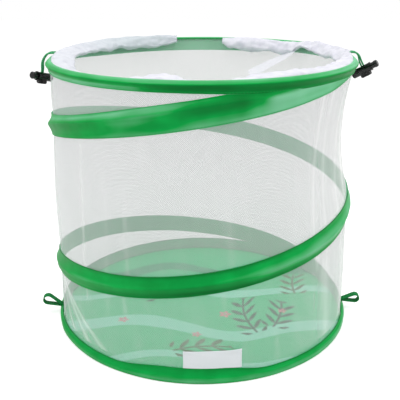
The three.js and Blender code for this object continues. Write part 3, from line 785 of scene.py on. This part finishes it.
def rimPull(degrees, reach, rise):
    if rise > 0:
        crown = max(height for out, height in sleeves["rim"]) * mm
        lift = mm * stretches(sleeves["rimLifts"], degrees)
        return reach, rise + (lift - rimDrop(degrees)) * rise / crown
    return reach, rise * (sleeves["rimHang"] + stretches(sleeves["rimHangs"], degrees))


def basePull(degrees, reach, rise):
    front, inner, left, right = sleeves["baseFront"]
    away = angleFrom(front, degrees)
    flat = smooth(inner, right if away > 0 else left, abs(away))
    flat *= 1 - stretch(*sleeves["baseBack"], degrees)
    return reach, rise * (1 - sleeves["baseFlat"] * flat) if rise > 0 else rise


def finishTape(piece, node, profile, wrap, run, body=None):
    # The tape's place and its two rows of stitches
    standFor(piece, node, body)
    if body is None:
        foldDown(piece)
    rows = [stitchRow(f"{piece.name}_stitches_{edge}", wrap, 1 - share * outerEnd(profile), run, body)
            for edge, share in sleeves["seams"].items()]


def hoopSleeve(name, profile, tones, middle, seed, node, body, pull):
    around = fullTurn * netRadius(middle)

    def wrap(u, v):
        reach, rise = sectionPoint(profile, v, 360 * u, pull)
        soft = ripple(around * u, v, seed) * (1 - u) + ripple(around * (u - 1), v, seed) * u
        radius = netRadius(middle + rise) + reach + soft * smooth(0.0, sleeves["freeHoop"], reach)
        return onCage(radius, 360 * u, middle + rise)

    # The tape's painted light and shade, from its table
    def marks(u, v):
        turned = 360 - 360 * u
        first = toneAcross(1 - v, profile, tones, turned, around * u, seed)
        last = toneAcross(1 - v, profile, tones, turned, around * (u - 1), seed)
        return lerp(first, last, smooth(0.9, 1.0, u))

    size = (fullTurn * cage["baseRadius"], clothWidth(profile, pull))
    piece = clothStrip(name, sleeves["hoopSteps"], size, wrap, greenTape, closed=True, marks=marks)
    finishTape(piece, node, profile, wrap, around, body)


def spiralWrap(u, v):
    turned = lerp(spiral["start"], spiral["end"], u)
    reach, rise = sectionPoint(sleeves["spiral"], v)
    rise += mm * bumps(spiral["lifts"], turned) * (1 - (rise / (spiral["height"] / 2)) ** 2)
    if rise > 0:
        rise *= 1 + bumps(spiral["taller"], turned)
    else:
        hanging = smooth(*spiral["hangStart"], turned) * (1 - smooth(*spiral["hangEnd"], turned))
        rise *= 1 + spiral["hang"] * hanging
    for centre, half, out, place, wide in spiral["bellies"]:
        reach += mm * out * bump(centre, half, turned) * bump(place * mm, wide * mm, rise)
    height = spiralHeight(turned) + rise
    near = min(cage["rimFoot"] - height, height - cage["baseTop"]) / spiral["tuck"]
    full = smooth(0.0, 1.0, near) * smooth(*spiral["fullStart"], turned)
    full *= 1 - smooth(*spiral["fullEnd"], turned)
    reach = lerp(min(reach, spiral["flat"]), reach * (1 + bumps([spiral["lifted"]], turned)), full)
    reach += ripple(spiral["run"] * u, v, spiral["seed"]) * smooth(0.0, sleeves["freeSpiral"], reach)
    return onCage(netRadius(height) + reach, -turned, height)


def makeSpiralSleeve():
    profile = sleeves["spiral"]

    # The tape's painted light and shade, from its table
    def marks(u, v):
        turned = lerp(spiral["start"], spiral["end"], u)
        run = spiral["run"] * u
        return toneAcross(1 - v, profile, sleeves["spiralPaintedShading"], turned, run, spiral["seed"])

    size = (spiral["run"], clothWidth(profile))
    bm = stripMesh(spiral["steps"], size, spiralWrap, marks)
    for height, side in ((cage["rimFoot"] - 0.3 * mm, 1), (cage["baseTop"] + 0.3 * mm, -1)):
        bmesh.ops.bisect_plane(bm, geom=bm.verts[:] + bm.edges[:] + bm.faces[:], plane_co=(0, 0, height),
                               plane_no=(0, 0, side), clear_outer=True)
    piece = finishStrip("spiral_tape", bm, greenTape)
    finishTape(piece, "spiral_sleeve", profile, spiralWrap, spiral["run"])


def stitchRow(name, wrap, v, run, body=None, material=None):
    # A row of small raised stitches, each a grain of thread lying on the cloth
    bm = bmesh.new()
    count = int(run / sleeves["stitchPitch"])
    for index in range(count):
        start = wrap((index + 0.18) / count, v)
        end = wrap((index + 0.82) / count, v)
        if body is None and not cage["baseTop"] + 1 * mm < start.z < cage["rimFoot"] - 1 * mm:
            continue
        middle = (start + end) / 2
        along = (end - start) / 2
        out = Vector((middle.x, middle.y, 0)).normalized() * sleeves["stitchHeight"]
        side = along.cross(out).normalized() * sleeves["stitchWidth"] / 2
        place = Matrix.Translation(middle) @ Matrix((along, side, out)).transposed().to_4x4()
        bmesh.ops.create_icosphere(bm, subdivisions=1, radius=1.0, matrix=place)
    bmesh.ops.recalc_face_normals(bm, faces=bm.faces)
    piece = finishMesh(name, bm, material or greenThread)
    if body is None:
        foldDown(piece)
    else:
        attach(piece, body)
    return piece


def sewingThreadMaterial(name, shade, colour):
    # Spun polyester sewing thread: matt and twisted, so it looks mottled
    material, tree, shader = newMaterial(name, {"Roughness": 0.75})
    place = addNode(tree, "TexCoord").outputs["Object"]
    twist = addNode(tree, "TexNoise", {"Vector": place, "Scale": 1 / (0.8 * mm), "Detail": 1.0})
    tone = addNode(tree, "Mix", {0: twist, 6: shade, 7: colour}, data_type="RGBA")
    feed(shader, {"Base Color": tone})
    return material


greenThread = sewingThreadMaterial("green sewing thread", sleeves["deep"], sleeves["colour"])
greenTape = satinTapeMaterial("woven satin tape", sleeves)
hoopSleeve("rim_tape", sleeves["rim"], sleeves["rimPaintedShading"], cage["height"] - 6 * mm, 1.3, "top_rim_sleeve",
           "top_rim", rimPull)
hoopSleeve("base_tape", sleeves["base"], sleeves["basePaintedShading"], 7.25 * mm, 4.9, "base_rim_sleeve",
           "base", basePull)
makeSpiralSleeve()
print("sleeves made")


# The gathered collar inside the mouth

collar = {
    "cloth": 0.8 * mm,
    "width": 34 * mm,
    "steps": (760, 30),
    "start": 102,
    "end": 440,
    # Degrees, height of the crown over the rim, its place and the hem's inside the net, and the hem's
    # drop, in mm
    "shape": [
        (102, 2.2, 4.5, 7.5, 3.2), (107, 3.4, 5.0, 9.5, 5.6), (114, 2.8, 5.5, 12.0, 8.4),
        (121, 3.2, 6.0, 14.0, 7.0), (128, 3.6, 6.0, 16.0, 7.0), (135, 3.8, 6.5, 18.0, 4.4),
        (142, 3.3, 7.0, 20.0, 6.2), (149, 2.7, 7.0, 21.0, 4.3), (156, 2.6, 7.0, 21.5, 4.2),
        (163, 2.0, 6.0, 22.0, 4.2), (170, 1.3, 5.0, 22.0, 3.6), (177, 0.8, 4.5, 22.5, 3.2),
        (184, 0.2, 4.0, 23.0, 4.0), (192, -1.5, 5.0, 23.0, 6.0), (200, -5.0, 6.0, 22.0, 10.0),
        (210, -8.0, 6.0, 18.0, 12.0), (242, -8.0, 6.0, 16.0, 12.0), (249, -4.0, 8.0, 18.0, 6.0),
        (252, -2.4, 8.0, 20.0, 3.0), (256, -0.8, 8.0, 20.0, 1.0), (260, -2.4, 8.0, 19.0, 3.0),
        (265, -7.0, 7.0, 17.0, 10.0),
        (278, -7.0, 6.0, 16.0, 11.0), (284, -4.0, 10.0, 17.0, 7.0), (290, -2.2, 11.0, 19.0, 4.0),
        (296, -1.5, 12.0, 20.0, 3.0), (304, -0.4, 13.0, 20.0, 2.0), (312, -1.2, 14.0, 21.0, 3.0),
        (320, -2.6, 14.0, 21.0, 5.0), (328, -2.8, 14.0, 20.0, 5.5), (336, -2.6, 13.0, 19.0, 6.0),
        (344, -0.5, 10.0, 16.0, 7.0), (352, 1.5, 5.0, 15.5, 7.0), (360, 2.4, 3.0, 15.0, 8.0),
        (370, 2.2, 4.0, 15.0, 6.0), (376, 2.0, 6.0, 16.0, 8.0), (382, 2.4, 6.0, 17.0, 6.0),
        (388, 4.2, 6.0, 17.0, 4.0), (394, 1.8, 6.0, 18.0, 1.5), (402, -0.9, 6.0, 16.0, 9.0),
        (408, -1.9, 6.0, 14.0, 13.0), (416, -0.9, 6.0, 12.0, 11.0),
        (426, 0.4, 6.0, 12.0, 12.0), (436, 0.2, 5.0, 11.0, 10.0), (440, -0.4, 4.5, 9.0, 4.5),
    ],
    # The lining is white: these colours are drawn grey as painted shade, the second mottled in at random, and
    # the third is painted bluish shade at the back where it folds deep
    "colour": "dcdce5",
    "shade": "cbcbd7",
    "paintedFoldShade": "b9c4c8",
    # Where painted shade greys it, at the back where it lies deep in the fold
    "paintedFoldShades": [(124, 0, 58, 0.75), (190, 0, 50, 0.25)],
    "gather": 1.25 * mm,
    "gatherRuns": (26 * mm, 9 * mm),
    "lump": 1.1 * mm,
    "lumpRun": 17 * mm,
}


def gatheredClothMaterial():
    # Brushed polyester lining: soft and matt, mottled with painted shade, and with painted bluish shade where
    # it folds into itself
    material, tree, shader = newMaterial("brushed polyester lining", {
        "Roughness": 0.85, "Specular IOR Level": 0.2, "Sheen Weight": 0.3, "Sheen Roughness": 0.5})
    place = addNode(tree, "TexCoord").outputs["Object"]
    cloud = addNode(tree, "TexNoise", {"Vector": place, "Scale": 1 / (9 * mm), "Detail": 4.0})
    paintedLight = addNode(tree, "MapRange", {"Value": cloud, "From Min": 0.3, "From Max": 0.6})
    mark = addNode(tree, "Attribute", attribute_name="mark").outputs["Fac"]
    tone = collar["shade"]
    for share, colour in ((paintedLight, "colour"), (mark, "paintedFoldShade")):
        tone = addNode(tree, "Mix", {0: share, 6: tone, 7: collar[colour]}, data_type="RGBA")
    fuzz = addNode(tree, "TexNoise", {"Vector": place, "Scale": 1 / (0.9 * mm), "Detail": 2.0})
    relief = addNode(tree, "Bump", {"Height": fuzz, "Strength": 0.15, "Distance": 0.3 * mm})
    feed(shader, {"Base Color": tone, "Normal": relief})
    return material


def makeCollar():
    def wrap(u, v):
        degrees = lerp(collar["start"], collar["end"], u)
        crown, crownIn, hemIn, hemDrop = through(collar["shape"], degrees)
        # From inside the rim's sleeve over the crown to the hem: mm inward and mm up
        line = [
            (1.4, -5.6), (min(2.6, crownIn * 0.7), crown * 0.55 - 0.9), (crownIn, crown),
            (lerp(crownIn, hemIn, 0.55), crown * 0.4 - hemDrop * 0.25), (hemIn, -hemDrop * 0.8),
            (hemIn - 0.6, -hemDrop - 1.2), (hemIn - 2.4, -hemDrop - 0.6),
        ]
        inward, rise = (value * mm for value in alongPoints(line, v))
        run = math.radians(degrees) * cage["topRadius"]
        deep = smooth(0.0, 0.5, v)
        long, short = collar["gatherRuns"]
        fold = noiseAt(run / long, v * 5.5 + run * 14, 2.2)
        fold += 0.9 * noiseAt(run / short, v * 8 - run * 20, 6.1)
        lump = noiseAt(run / collar["lumpRun"], v * 1.5, 9.9)
        inward += deep * (collar["gather"] * fold * 0.7 + collar["lump"] * lump)
        rise += deep * (collar["gather"] * fold + collar["lump"] * lump * 0.5)
        return onCage(netRadius(cage["height"]) - inward, degrees, cage["height"] + rise)

    # Painted bluish shade at the back
    def marks(u, v):
        return stretches(collar["paintedFoldShades"], lerp(collar["start"], collar["end"], u))

    run = math.radians(collar["end"] - collar["start"]) * (cage["topRadius"] - 10 * mm)
    size = (run, collar["width"])
    piece = clothStrip("gathered_collar", collar["steps"], size, wrap, whiteLining, collar["cloth"],
                       marks=marks)
    standFor(piece, "lid_collar", "top_rim")


whiteLining = gatheredClothMaterial()
makeCollar()
print("collar made")


# The loose strip of the net lid

flap = {
    "size": (78 * mm, 12 * mm),
    "steps": (60, 12),
    "start": 38,
    "end": 63,
    "topDrop": 3.2 * mm,
    "fall": 30 * mm,
    "topWidth": 9 * mm,
    "lowWidth": 14 * mm,
    "inset": 10 * mm,
    "lean": 12 * mm,
    "slant": 13 * mm,
    "wave": 1.2 * mm,
    "waves": 9,
    # The same net as the wall's, drawn near white as a painted highlight where the strip catches the light
    "colour": "f2f2ff",
    "haze": 0.22,
}


def makeFlap():
    def wrap(u, v):
        degrees = lerp(flap["start"], flap["end"], u)
        top = cage["height"] - flap["topDrop"] - flap["fall"] * u
        wide = lerp(flap["topWidth"], flap["lowWidth"], u) * (1 - 0.8 * max(0.0, u * 4 - 3) ** 2)
        height = top - (1 - v) * wide
        inset = flap["inset"] + flap["lean"] * u + (1 - v) * flap["slant"]
        soft = flap["wave"] * math.sin(u * flap["waves"]) * (1 - v)
        return onCage(netRadius(top) - inset + soft, degrees, height)

    foldedNet = netMaterial("folded polyester net", flap["colour"], flap["haze"])
    piece = clothStrip("lid_strip", flap["steps"], flap["size"], wrap, foldedNet)
    standFor(piece, "lid_net_flap", "top_rim")


makeFlap()
print("lid strip made")


# Printed floor cloth

ground = {
    "radius": 159.1 * mm,
    "top": 1.3 * mm,
    "cloth": 0.6 * mm,
    "swell": 0.9 * mm,
    "swellRuns": (45 * mm, 16 * mm),
    "steps": (180, 60),
    "green": "0adc8c",
    "mint": "90f8d0",
    "deep": "0eb074",
    "leaf": "006a38",
    "sage": "3f8036",
    "flower": "ee9696",
    "hillRise": 13 * mm,
    "hillLength": 210 * mm,
    "hillDrift": 60 * mm,
    # Where each band of the print begins, from the back of the floor to the front, and its colour
    "bands": [(0.0, "green"), (0.2, "deep"), (0.27, "green"), (0.4, "mint"), (0.45, "green"),
              (0.63, "mint"), (0.7, "green"), (0.86, "mint"), (0.91, "green")],
    # Sprigs: place in mm, heading in degrees, bend, length in mm, and colour
    "sprigs": [(60, -70, 118, 5.0, 74, "leaf"), (78, -58, 62, -4.0, 60, "leaf"),
               (-30, -105, 24, 6.0, 58, "sage"), (-52, 12, 152, 4.5, 66, "leaf"),
               (18, 50, 200, 5.0, 50, "sage"), (112, 20, 96, 4.0, 52, "sage")],
    "leafPitch": 16 * mm,
    "leafLength": 17 * mm,
    "leafWidth": 7.5 * mm,
    "stem": 2.8 * mm,
    "flowers": [(26, -30, 8), (-88, -42, 7), (-6, -74, 6), (92, -22, 6), (-96, 36, 6)],
}


def sprigMask(tree, place, x, y, heading, bend, length):
    # 1 on a bent stem and on the pairs of leaves along it
    local = addNode(tree, "Mapping", {"Vector": place, "Location": (x * mm, y * mm, 0),
                                      "Rotation": (0, 0, math.radians(heading))}, vector_type="TEXTURE")
    axes = addNode(tree, "SeparateXYZ", [local]).outputs
    values = {"x": axes["X"], "y": axes["Y"]}
    pitch = ground["leafPitch"] / 2
    width = ground["leafWidth"] / 2
    half = length * mm / 2
    for name, operation, *terms in [
        ("square", "MULTIPLY", "x", "x"),
        ("bent", "MULTIPLY_ADD", "square", bend, "y"),
        ("side", "ABSOLUTE", "bent"),
        ("slanted", "MULTIPLY_ADD", "side", -0.9, "x"),
        ("nearest", "PINGPONG", "slanted", pitch),
        ("across", "SUBTRACT", pitch, "nearest"),
        ("share", "MULTIPLY_ADD", "side", 2 / ground["leafLength"], -1.0),
        ("bulge", "MULTIPLY", "share", "share"),
        ("lens", "MULTIPLY_ADD", "bulge", -width, width),
        ("leaf", "LESS_THAN", "across", "lens"),
        ("stem", "LESS_THAN", "side", ground["stem"] / 2),
        ("either", "MAXIMUM", "leaf", "stem"),
        ("past", "SUBTRACT", "x", half),
        ("away", "ABSOLUTE", "past"),
        ("inside", "LESS_THAN", "away", half),
        ("mask", "MULTIPLY", "either", "inside"),
    ]:
        sockets = [values.get(term, term) for term in terms]
        values[name] = addNode(tree, "Math", sockets, operation=operation)
    return values["mask"]


def flowerMask(tree, place, x, y, radius):
    # 1 on five round petals, 0 in the eye
    spot = (x * mm, y * mm, 0)
    local = addNode(tree, "Mapping", {"Vector": place, "Location": spot}, vector_type="TEXTURE")
    axes = addNode(tree, "SeparateXYZ", [local]).outputs
    away = addNode(tree, "VectorMath", [local], operation="LENGTH").outputs["Value"]
    turn = addNode(tree, "Math", [axes["Y"], axes["X"]], operation="ARCTAN2")
    fifth = addNode(tree, "Math", [turn, 5.0], operation="MULTIPLY")
    wave = addNode(tree, "Math", [fifth], operation="COSINE")
    size = radius * mm
    edge = addNode(tree, "Math", [wave, size * 0.25, size * 0.7], operation="MULTIPLY_ADD")
    petals = addNode(tree, "Math", [away, edge], operation="LESS_THAN")
    ring = addNode(tree, "Math", [away, size * 0.2], operation="GREATER_THAN")
    return addNode(tree, "Math", [petals, ring], operation="MULTIPLY")


def printedFloorMaterial():
    # Plain-woven polyester printed in flat inks: rolling bands of green with leaf sprigs and small flowers
    material, tree, shader = newMaterial("printed woven polyester", {
        "Roughness": 0.75, "Specular IOR Level": 0.2})
    coords = addNode(tree, "TexCoord").outputs["Object"]
    flat = addNode(tree, "VectorMath", [coords, (1, 1, 0)], operation="MULTIPLY")
    axes = addNode(tree, "SeparateXYZ", [flat]).outputs
    cloud = addNode(tree, "TexNoise", {"Vector": flat, "Scale": 1 / (120 * mm), "Detail": 0.0})
    rate = fullTurn / ground["hillLength"]
    turn = addNode(tree, "Math", [axes["X"], rate], operation="MULTIPLY")
    roll = addNode(tree, "Math", [turn], operation="SINE")
    hills = addNode(tree, "Math", [roll, ground["hillRise"], axes["Y"]], operation="MULTIPLY_ADD")
    drift = ground["hillDrift"]
    height = addNode(tree, "Math", [cloud, drift, hills], operation="MULTIPLY_ADD")
    share = addNode(tree, "MapRange", {"Value": height, "From Min": drift / 2 + ground["radius"],
                                       "From Max": drift / 2 - ground["radius"]})
    ramp = addNode(tree, "ValToRGB", [share])
    ramp.color_ramp.interpolation = "CONSTANT"
    for start, colour in ground["bands"]:
        stop = ramp.color_ramp.elements[0] if start == 0 else ramp.color_ramp.elements.new(start)
        stop.color = hexColour(ground[colour])
    ramp.color_ramp.elements.remove(ramp.color_ramp.elements[-1])
    prints = [(sprigMask(tree, flat, *spot), ground[colour]) for *spot, colour in ground["sprigs"]]
    prints += [(flowerMask(tree, flat, *spot), ground["flower"]) for spot in ground["flowers"]]
    tone = ramp
    for mask, colour in prints:
        tone = addNode(tree, "Mix", {0: mask, 6: tone, 7: colour}, data_type="RGBA")
    weave = addNode(tree, "TexBrick", {
        "Vector": flat, "Scale": 1 / (1.6 * mm), "Mortar Size": 0.08, "Color1": (1.0, 1.0, 1.0, 1.0),
        "Color2": (0.94, 0.94, 0.94, 1.0), "Mortar": (0.86, 0.86, 0.86, 1.0)})
    woven = addNode(tree, "Mix", {0: 1.0, 6: tone, 7: weave}, data_type="RGBA", blend_type="MULTIPLY")
    relief = addNode(tree, "Bump", {"Height": weave.outputs["Fac"], "Strength": 0.2, "Distance": 0.15 * mm})
    feed(shader, {"Base Color": woven, "Normal": relief})
    return material


def makeGround():
    def wrap(u, v):
        radius = ground["radius"] * v
        spot = onCage(radius, 360 * u, 0)
        long, short = ground["swellRuns"]
        swell = noiseAt(spot.x / long, spot.y / long, 1.7)
        swell += 0.5 * noiseAt(spot.x / short, spot.y / short, 4.4)
        edge = 1 - smooth(0.86, 1.0, v)
        spot.z = ground["top"] + ground["swell"] * edge * (0.5 + swell * 0.8)
        return spot

    piece = clothStrip("floor_cloth", ground["steps"], (1, 1), wrap, printedFloorMaterial(), ground["cloth"],
                       closed=True, upward=True)
    standFor(piece, "floor_panel", "base")


makeGround()
print("floor made")


# Sewn label: bare white satin with folded, stitched edges

label = {
    "steps": (56, 20),
    "width": 56 * mm,
    "height": 19.8 * mm,
    "foot": 14.9 * mm,
    "angle": -86.4,
    "reach": 0.8 * mm,
    "belly": 0.9 * mm,
    "curl": 0.6 * mm,
    "curls": 7,
    "tilt": 0.9,
    "cloth": 0.4 * mm,
    "colour": "e9edf0",
    "shade": "d8dde1",
    "margin": 1.6 * mm,
    "roughness": 0.4,
    "gloss": 0.3,
    "relief": 0.15,
    "ribAxis": "Y",
    "ribPitch": 1.0 * mm,
    "ribHeight": 0.05 * mm,
}


def labelWrap(u, v):
    run = (u - 0.5) * label["width"]
    height = label["foot"] + v * label["height"] + run * math.sin(math.radians(label["tilt"])) * v
    degrees = label["angle"] + math.degrees(run / netRadius(height))
    curl = label["belly"] * math.sin(math.pi * u) * v
    curl += label["curl"] * smooth(0.7, 1.0, v) * math.cos(u * label["curls"])
    return onCage(netRadius(height) + label["reach"] + curl, degrees, height)


def ribbedMaterial(name, values):
    # Polyester woven with round cross ribs: matt grosgrain for the ribbons, and for the label a fine,
    # smooth and faintly glossy slit-edge satin. Its shade colour is painted shade in the grooves between
    # ribs.
    material, tree, shader = newMaterial(name, {
        "Roughness": values["roughness"], "Specular IOR Level": values["gloss"]})
    along = addNode(tree, "SeparateXYZ", [addNode(tree, "UVMap")]).outputs[values["ribAxis"]]
    ribs = addNode(tree, "Math", [along, 2 / values["ribPitch"]], operation="MULTIPLY")
    rib = addNode(tree, "Math", [ribs, 1.0], operation="PINGPONG")
    tone = addNode(tree, "Mix", {0: rib, 6: values["shade"], 7: values["colour"]}, data_type="RGBA")
    relief = addNode(tree, "Bump", {"Height": rib, "Strength": values["relief"],
                                    "Distance": values["ribHeight"]})
    feed(shader, {"Base Color": tone, "Normal": relief})
    return material


def makeLabel():
    size = (label["width"], label["height"])
    piece = clothStrip("label_cloth", label["steps"], size, labelWrap, satin, label["cloth"])
    standFor(piece, "sewn_label", "base")
    across = label["margin"] / label["width"]
    up = label["margin"] / label["height"]
    sides = {
        "top": (lambda u, v: labelWrap(lerp(across, 1 - across, u), 1 - up), label["width"]),
        "left": (lambda u, v: labelWrap(across, lerp(up, 1 - up, u)), label["height"]),
        "right": (lambda u, v: labelWrap(1 - across, lerp(up, 1 - up, u)), label["height"]),
    }
    rows = [stitchRow(f"label_stitches_{side}", wrap, 0, run, "base", labelThread)
            for side, (wrap, run) in sides.items()]


satin = ribbedMaterial("polyester label satin", label)
labelThread = sewingThreadMaterial("white sewing thread", label["shade"], label["colour"])
makeLabel()
print("label made")


# Ribbon loops on the base sleeve. Each is a folded ribbon, with its two ends sewn together at the sleeve.

loops = {
    "steps": (90, 6),
    "ribbon": 7 * mm,
    "thickness": 1.1 * mm,
    "arcSteps": 14,
    "gap": 0.45,
    # Each side from its root, as a share of the way to the tip, mm aside and a share of the tip's radius
    "sides": [(0.0, 0.45, 0.0), (0.35, 0.45, 0.33), (0.7, 0.2, 0.72)],
    # Lengths in mm, angles in degrees
    "left": {"angle": 187, "height": 9.3, "standoff": 2.0, "reach": 22.8, "tipRadius": 5.5, "rise": 27,
             "twist": 0},
    "right": {"angle": -3.8, "height": 11.2, "standoff": 1.8, "reach": 20.6, "tipRadius": 5.0, "rise": 10,
              "twist": 4},
    "colour": "0b8d43",
    "shade": "04602a",
    "roughness": 0.65,
    "gloss": 0.15,
    "relief": 0.5,
    "ribAxis": "X",
    "ribPitch": 1.0 * mm,
    "ribHeight": 0.12 * mm,
}


def makeLoop(side):
    values = loops[side]
    radius = values["tipRadius"] - loops["gap"]
    centre = values["reach"] - values["tipRadius"]
    slope = math.asin(radius / centre)
    line = [(centre * along, aside + radius * share) for along, aside, share in loops["sides"]]
    for step in range(loops["arcSteps"] + 1):
        turn = lerp(math.pi / 2 + slope, -math.pi / 2 - slope, step / loops["arcSteps"])
        line.append((centre + radius * math.cos(turn), radius * math.sin(turn)))
    line += [(x, -y) for x, y in reversed(line[:3])]
    degrees = math.radians(values["angle"])
    rise = math.radians(values["rise"])
    outward = Vector((math.cos(degrees) * math.cos(rise), math.sin(degrees) * math.cos(rise), math.sin(rise)))
    sideways = Vector((-math.sin(degrees), math.cos(degrees), 0))
    upward = outward.cross(sideways)
    height = values["height"] * mm
    root = onCage(netRadius(height) + values["standoff"] * mm, values["angle"], height)

    def wrap(u, v):
        along, across = alongPoints(line, u)
        twist = Matrix.Rotation(math.radians(values["twist"]) * smooth(0, centre, along), 3, outward)
        width = (v - 0.5) * loops["ribbon"]
        return root + (outward * along + twist @ upward * across) * mm + twist @ sideways * width

    size = ((2 * centre + math.pi * radius) * mm, loops["ribbon"])
    piece = clothStrip(f"ribbon_loop_{side}", loops["steps"], size, wrap, ribbon, loops["thickness"])
    piece.modifiers["cloth"].offset = 0.0
    standFor(piece, f"base_loop_{side}", "base")


ribbon = ribbedMaterial("grosgrain ribbon", loops)
for side in ("left", "right"):
    makeLoop(side)
print("ribbon loops made")


# Knots at the ends of the cords, drawn up inside the cord locks

knots = {"size": (3.6, 2.6, 1.7), "radius": 0.55 * mm, "points": 24}


def makeKnot(side):
    low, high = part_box(f"closure_knot_{side}")
    curve = cordCurve(f"cord_knot_{side}", [(0, 0, 0)] * knots["points"], knots["radius"], cordMaterial)
    spline = curve.data.splines[0]
    spline.use_cyclic_u = True
    for index, knot in enumerate(spline.bezier_points):
        t = fullTurn * index / knots["points"]
        loop = (math.sin(t) + 2 * math.sin(2 * t), math.cos(t) - 2 * math.cos(2 * t), -math.sin(3 * t) * 3)
        knot.co = (low + high) / 2 + Vector(a * b / 6 * mm for a, b in zip(loop, knots["size"]))
    standFor(curve, f"closure_knot_{side}", f"{side}_closure")


for side in ("left", "right"):
    makeKnot(side)
print("knots made")


# Finishes on the metal and plastic pieces

hardware = {
    "wire": "8b8e92",
    "ferrule": "b4b8bc",
    "plastic": "060607",
    "scuff": "121315",
}


def metalMaterial(name, colour, roughness, grain):
    # Drawn or rolled steel: bright, with fine streaks that break up the gloss
    material, tree, shader = newMaterial(name, {"Metallic": 1.0, "Base Color": colour})
    place = addNode(tree, "TexCoord").outputs["Object"]
    streak = addNode(tree, "TexNoise", {"Vector": place, "Scale": 1 / grain, "Detail": 4.0})
    rough = addNode(tree, "MapRange", {"Value": streak, "To Min": roughness * 0.7, "To Max": roughness * 1.3})
    relief = addNode(tree, "Bump", {"Height": streak, "Strength": 0.1, "Distance": 0.05 * mm})
    feed(shader, {"Roughness": rough, "Normal": relief})
    return material


def plasticMaterial():
    # Injection-moulded acetal: near black and glossy, with a slight orange peel and paler scuffs
    material, tree, shader = newMaterial("black moulded acetal", {"Specular IOR Level": 0.35})
    place = addNode(tree, "TexCoord").outputs["Object"]
    scuff = addNode(tree, "TexNoise", {"Vector": place, "Scale": 1 / (1.6 * mm), "Detail": 5.0})
    share = addNode(tree, "MapRange", {"Value": scuff, "From Min": 0.6, "From Max": 0.85})
    tone = addNode(tree, "Mix", {0: share, 6: hardware["plastic"], 7: hardware["scuff"]}, data_type="RGBA")
    rough = addNode(tree, "MapRange", {"Value": share, "To Min": 0.14, "To Max": 0.4})
    peel = addNode(tree, "TexNoise", {"Vector": place, "Scale": 1 / (0.7 * mm), "Detail": 1.0})
    relief = addNode(tree, "Bump", {"Height": peel, "Strength": 0.04, "Distance": 0.05 * mm})
    feed(shader, {"Base Color": tone, "Roughness": rough, "Normal": relief})
    return material


def copyPiece(name, node, finish):
    # A merged copy of a CAD node, in its place, with the given finish
    source = frame["nodes"][node]
    bm = bmesh.new()
    bm.from_mesh(source.data)
    bm.transform(source.matrix_world)
    bmesh.ops.remove_doubles(bm, verts=bm.verts, dist=weld)
    bmesh.ops.recalc_face_normals(bm, faces=bm.faces)
    piece = finishMesh(name, bm, finish)
    standFor(piece, node)
    return piece


def makeSprings():
    # The wall's spring and its cap ride on the base with the net, and each lock's spring rides on the parent
    # body of its plunger's joint
    foldDown(copyPiece("wall_spring", "spiral_wire", springSteel))
    foldDown(copyPiece("wall_spring_cap", "spiral_end_cap_upper", blackPlastic))
    for side in ("left", "right"):
        press = joints[f"{side}_lock_press"]
        piece = copyPiece(f"lock_spring_{side}", f"cord_lock_spring_{side}", springSteel)
        axis = Vector(press["axis"])
        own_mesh(piece)
        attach(piece, press["parent"])


springSteel = metalMaterial("drawn spring steel wire", hardware["wire"], 0.32, 1.5 * mm)
ferruleSteel = metalMaterial("zinc-plated steel", hardware["ferrule"], 0.28, 0.9 * mm)
blackPlastic = plasticMaterial()
makeSprings()
print("springs made")
# Each node takes the first finish that its name starts with
finishes = {
    "base_hoop_ferrule": ferruleSteel,
    "top_hoop_ferrule": ferruleSteel,
    "base_hoop": springSteel,
    "top_hoop": springSteel,
    "spiral_end_cap": blackPlastic,
    "cord_lock_barrel": blackPlastic,
    "cord_lock_plunger": blackPlastic,
}
for name, node in frame["nodes"].items():
    finish = next((finish for start, finish in finishes.items() if name.startswith(start)), None)
    if finish:
        for place in node.material_slots:
            place.material = finish
print("finishes set")
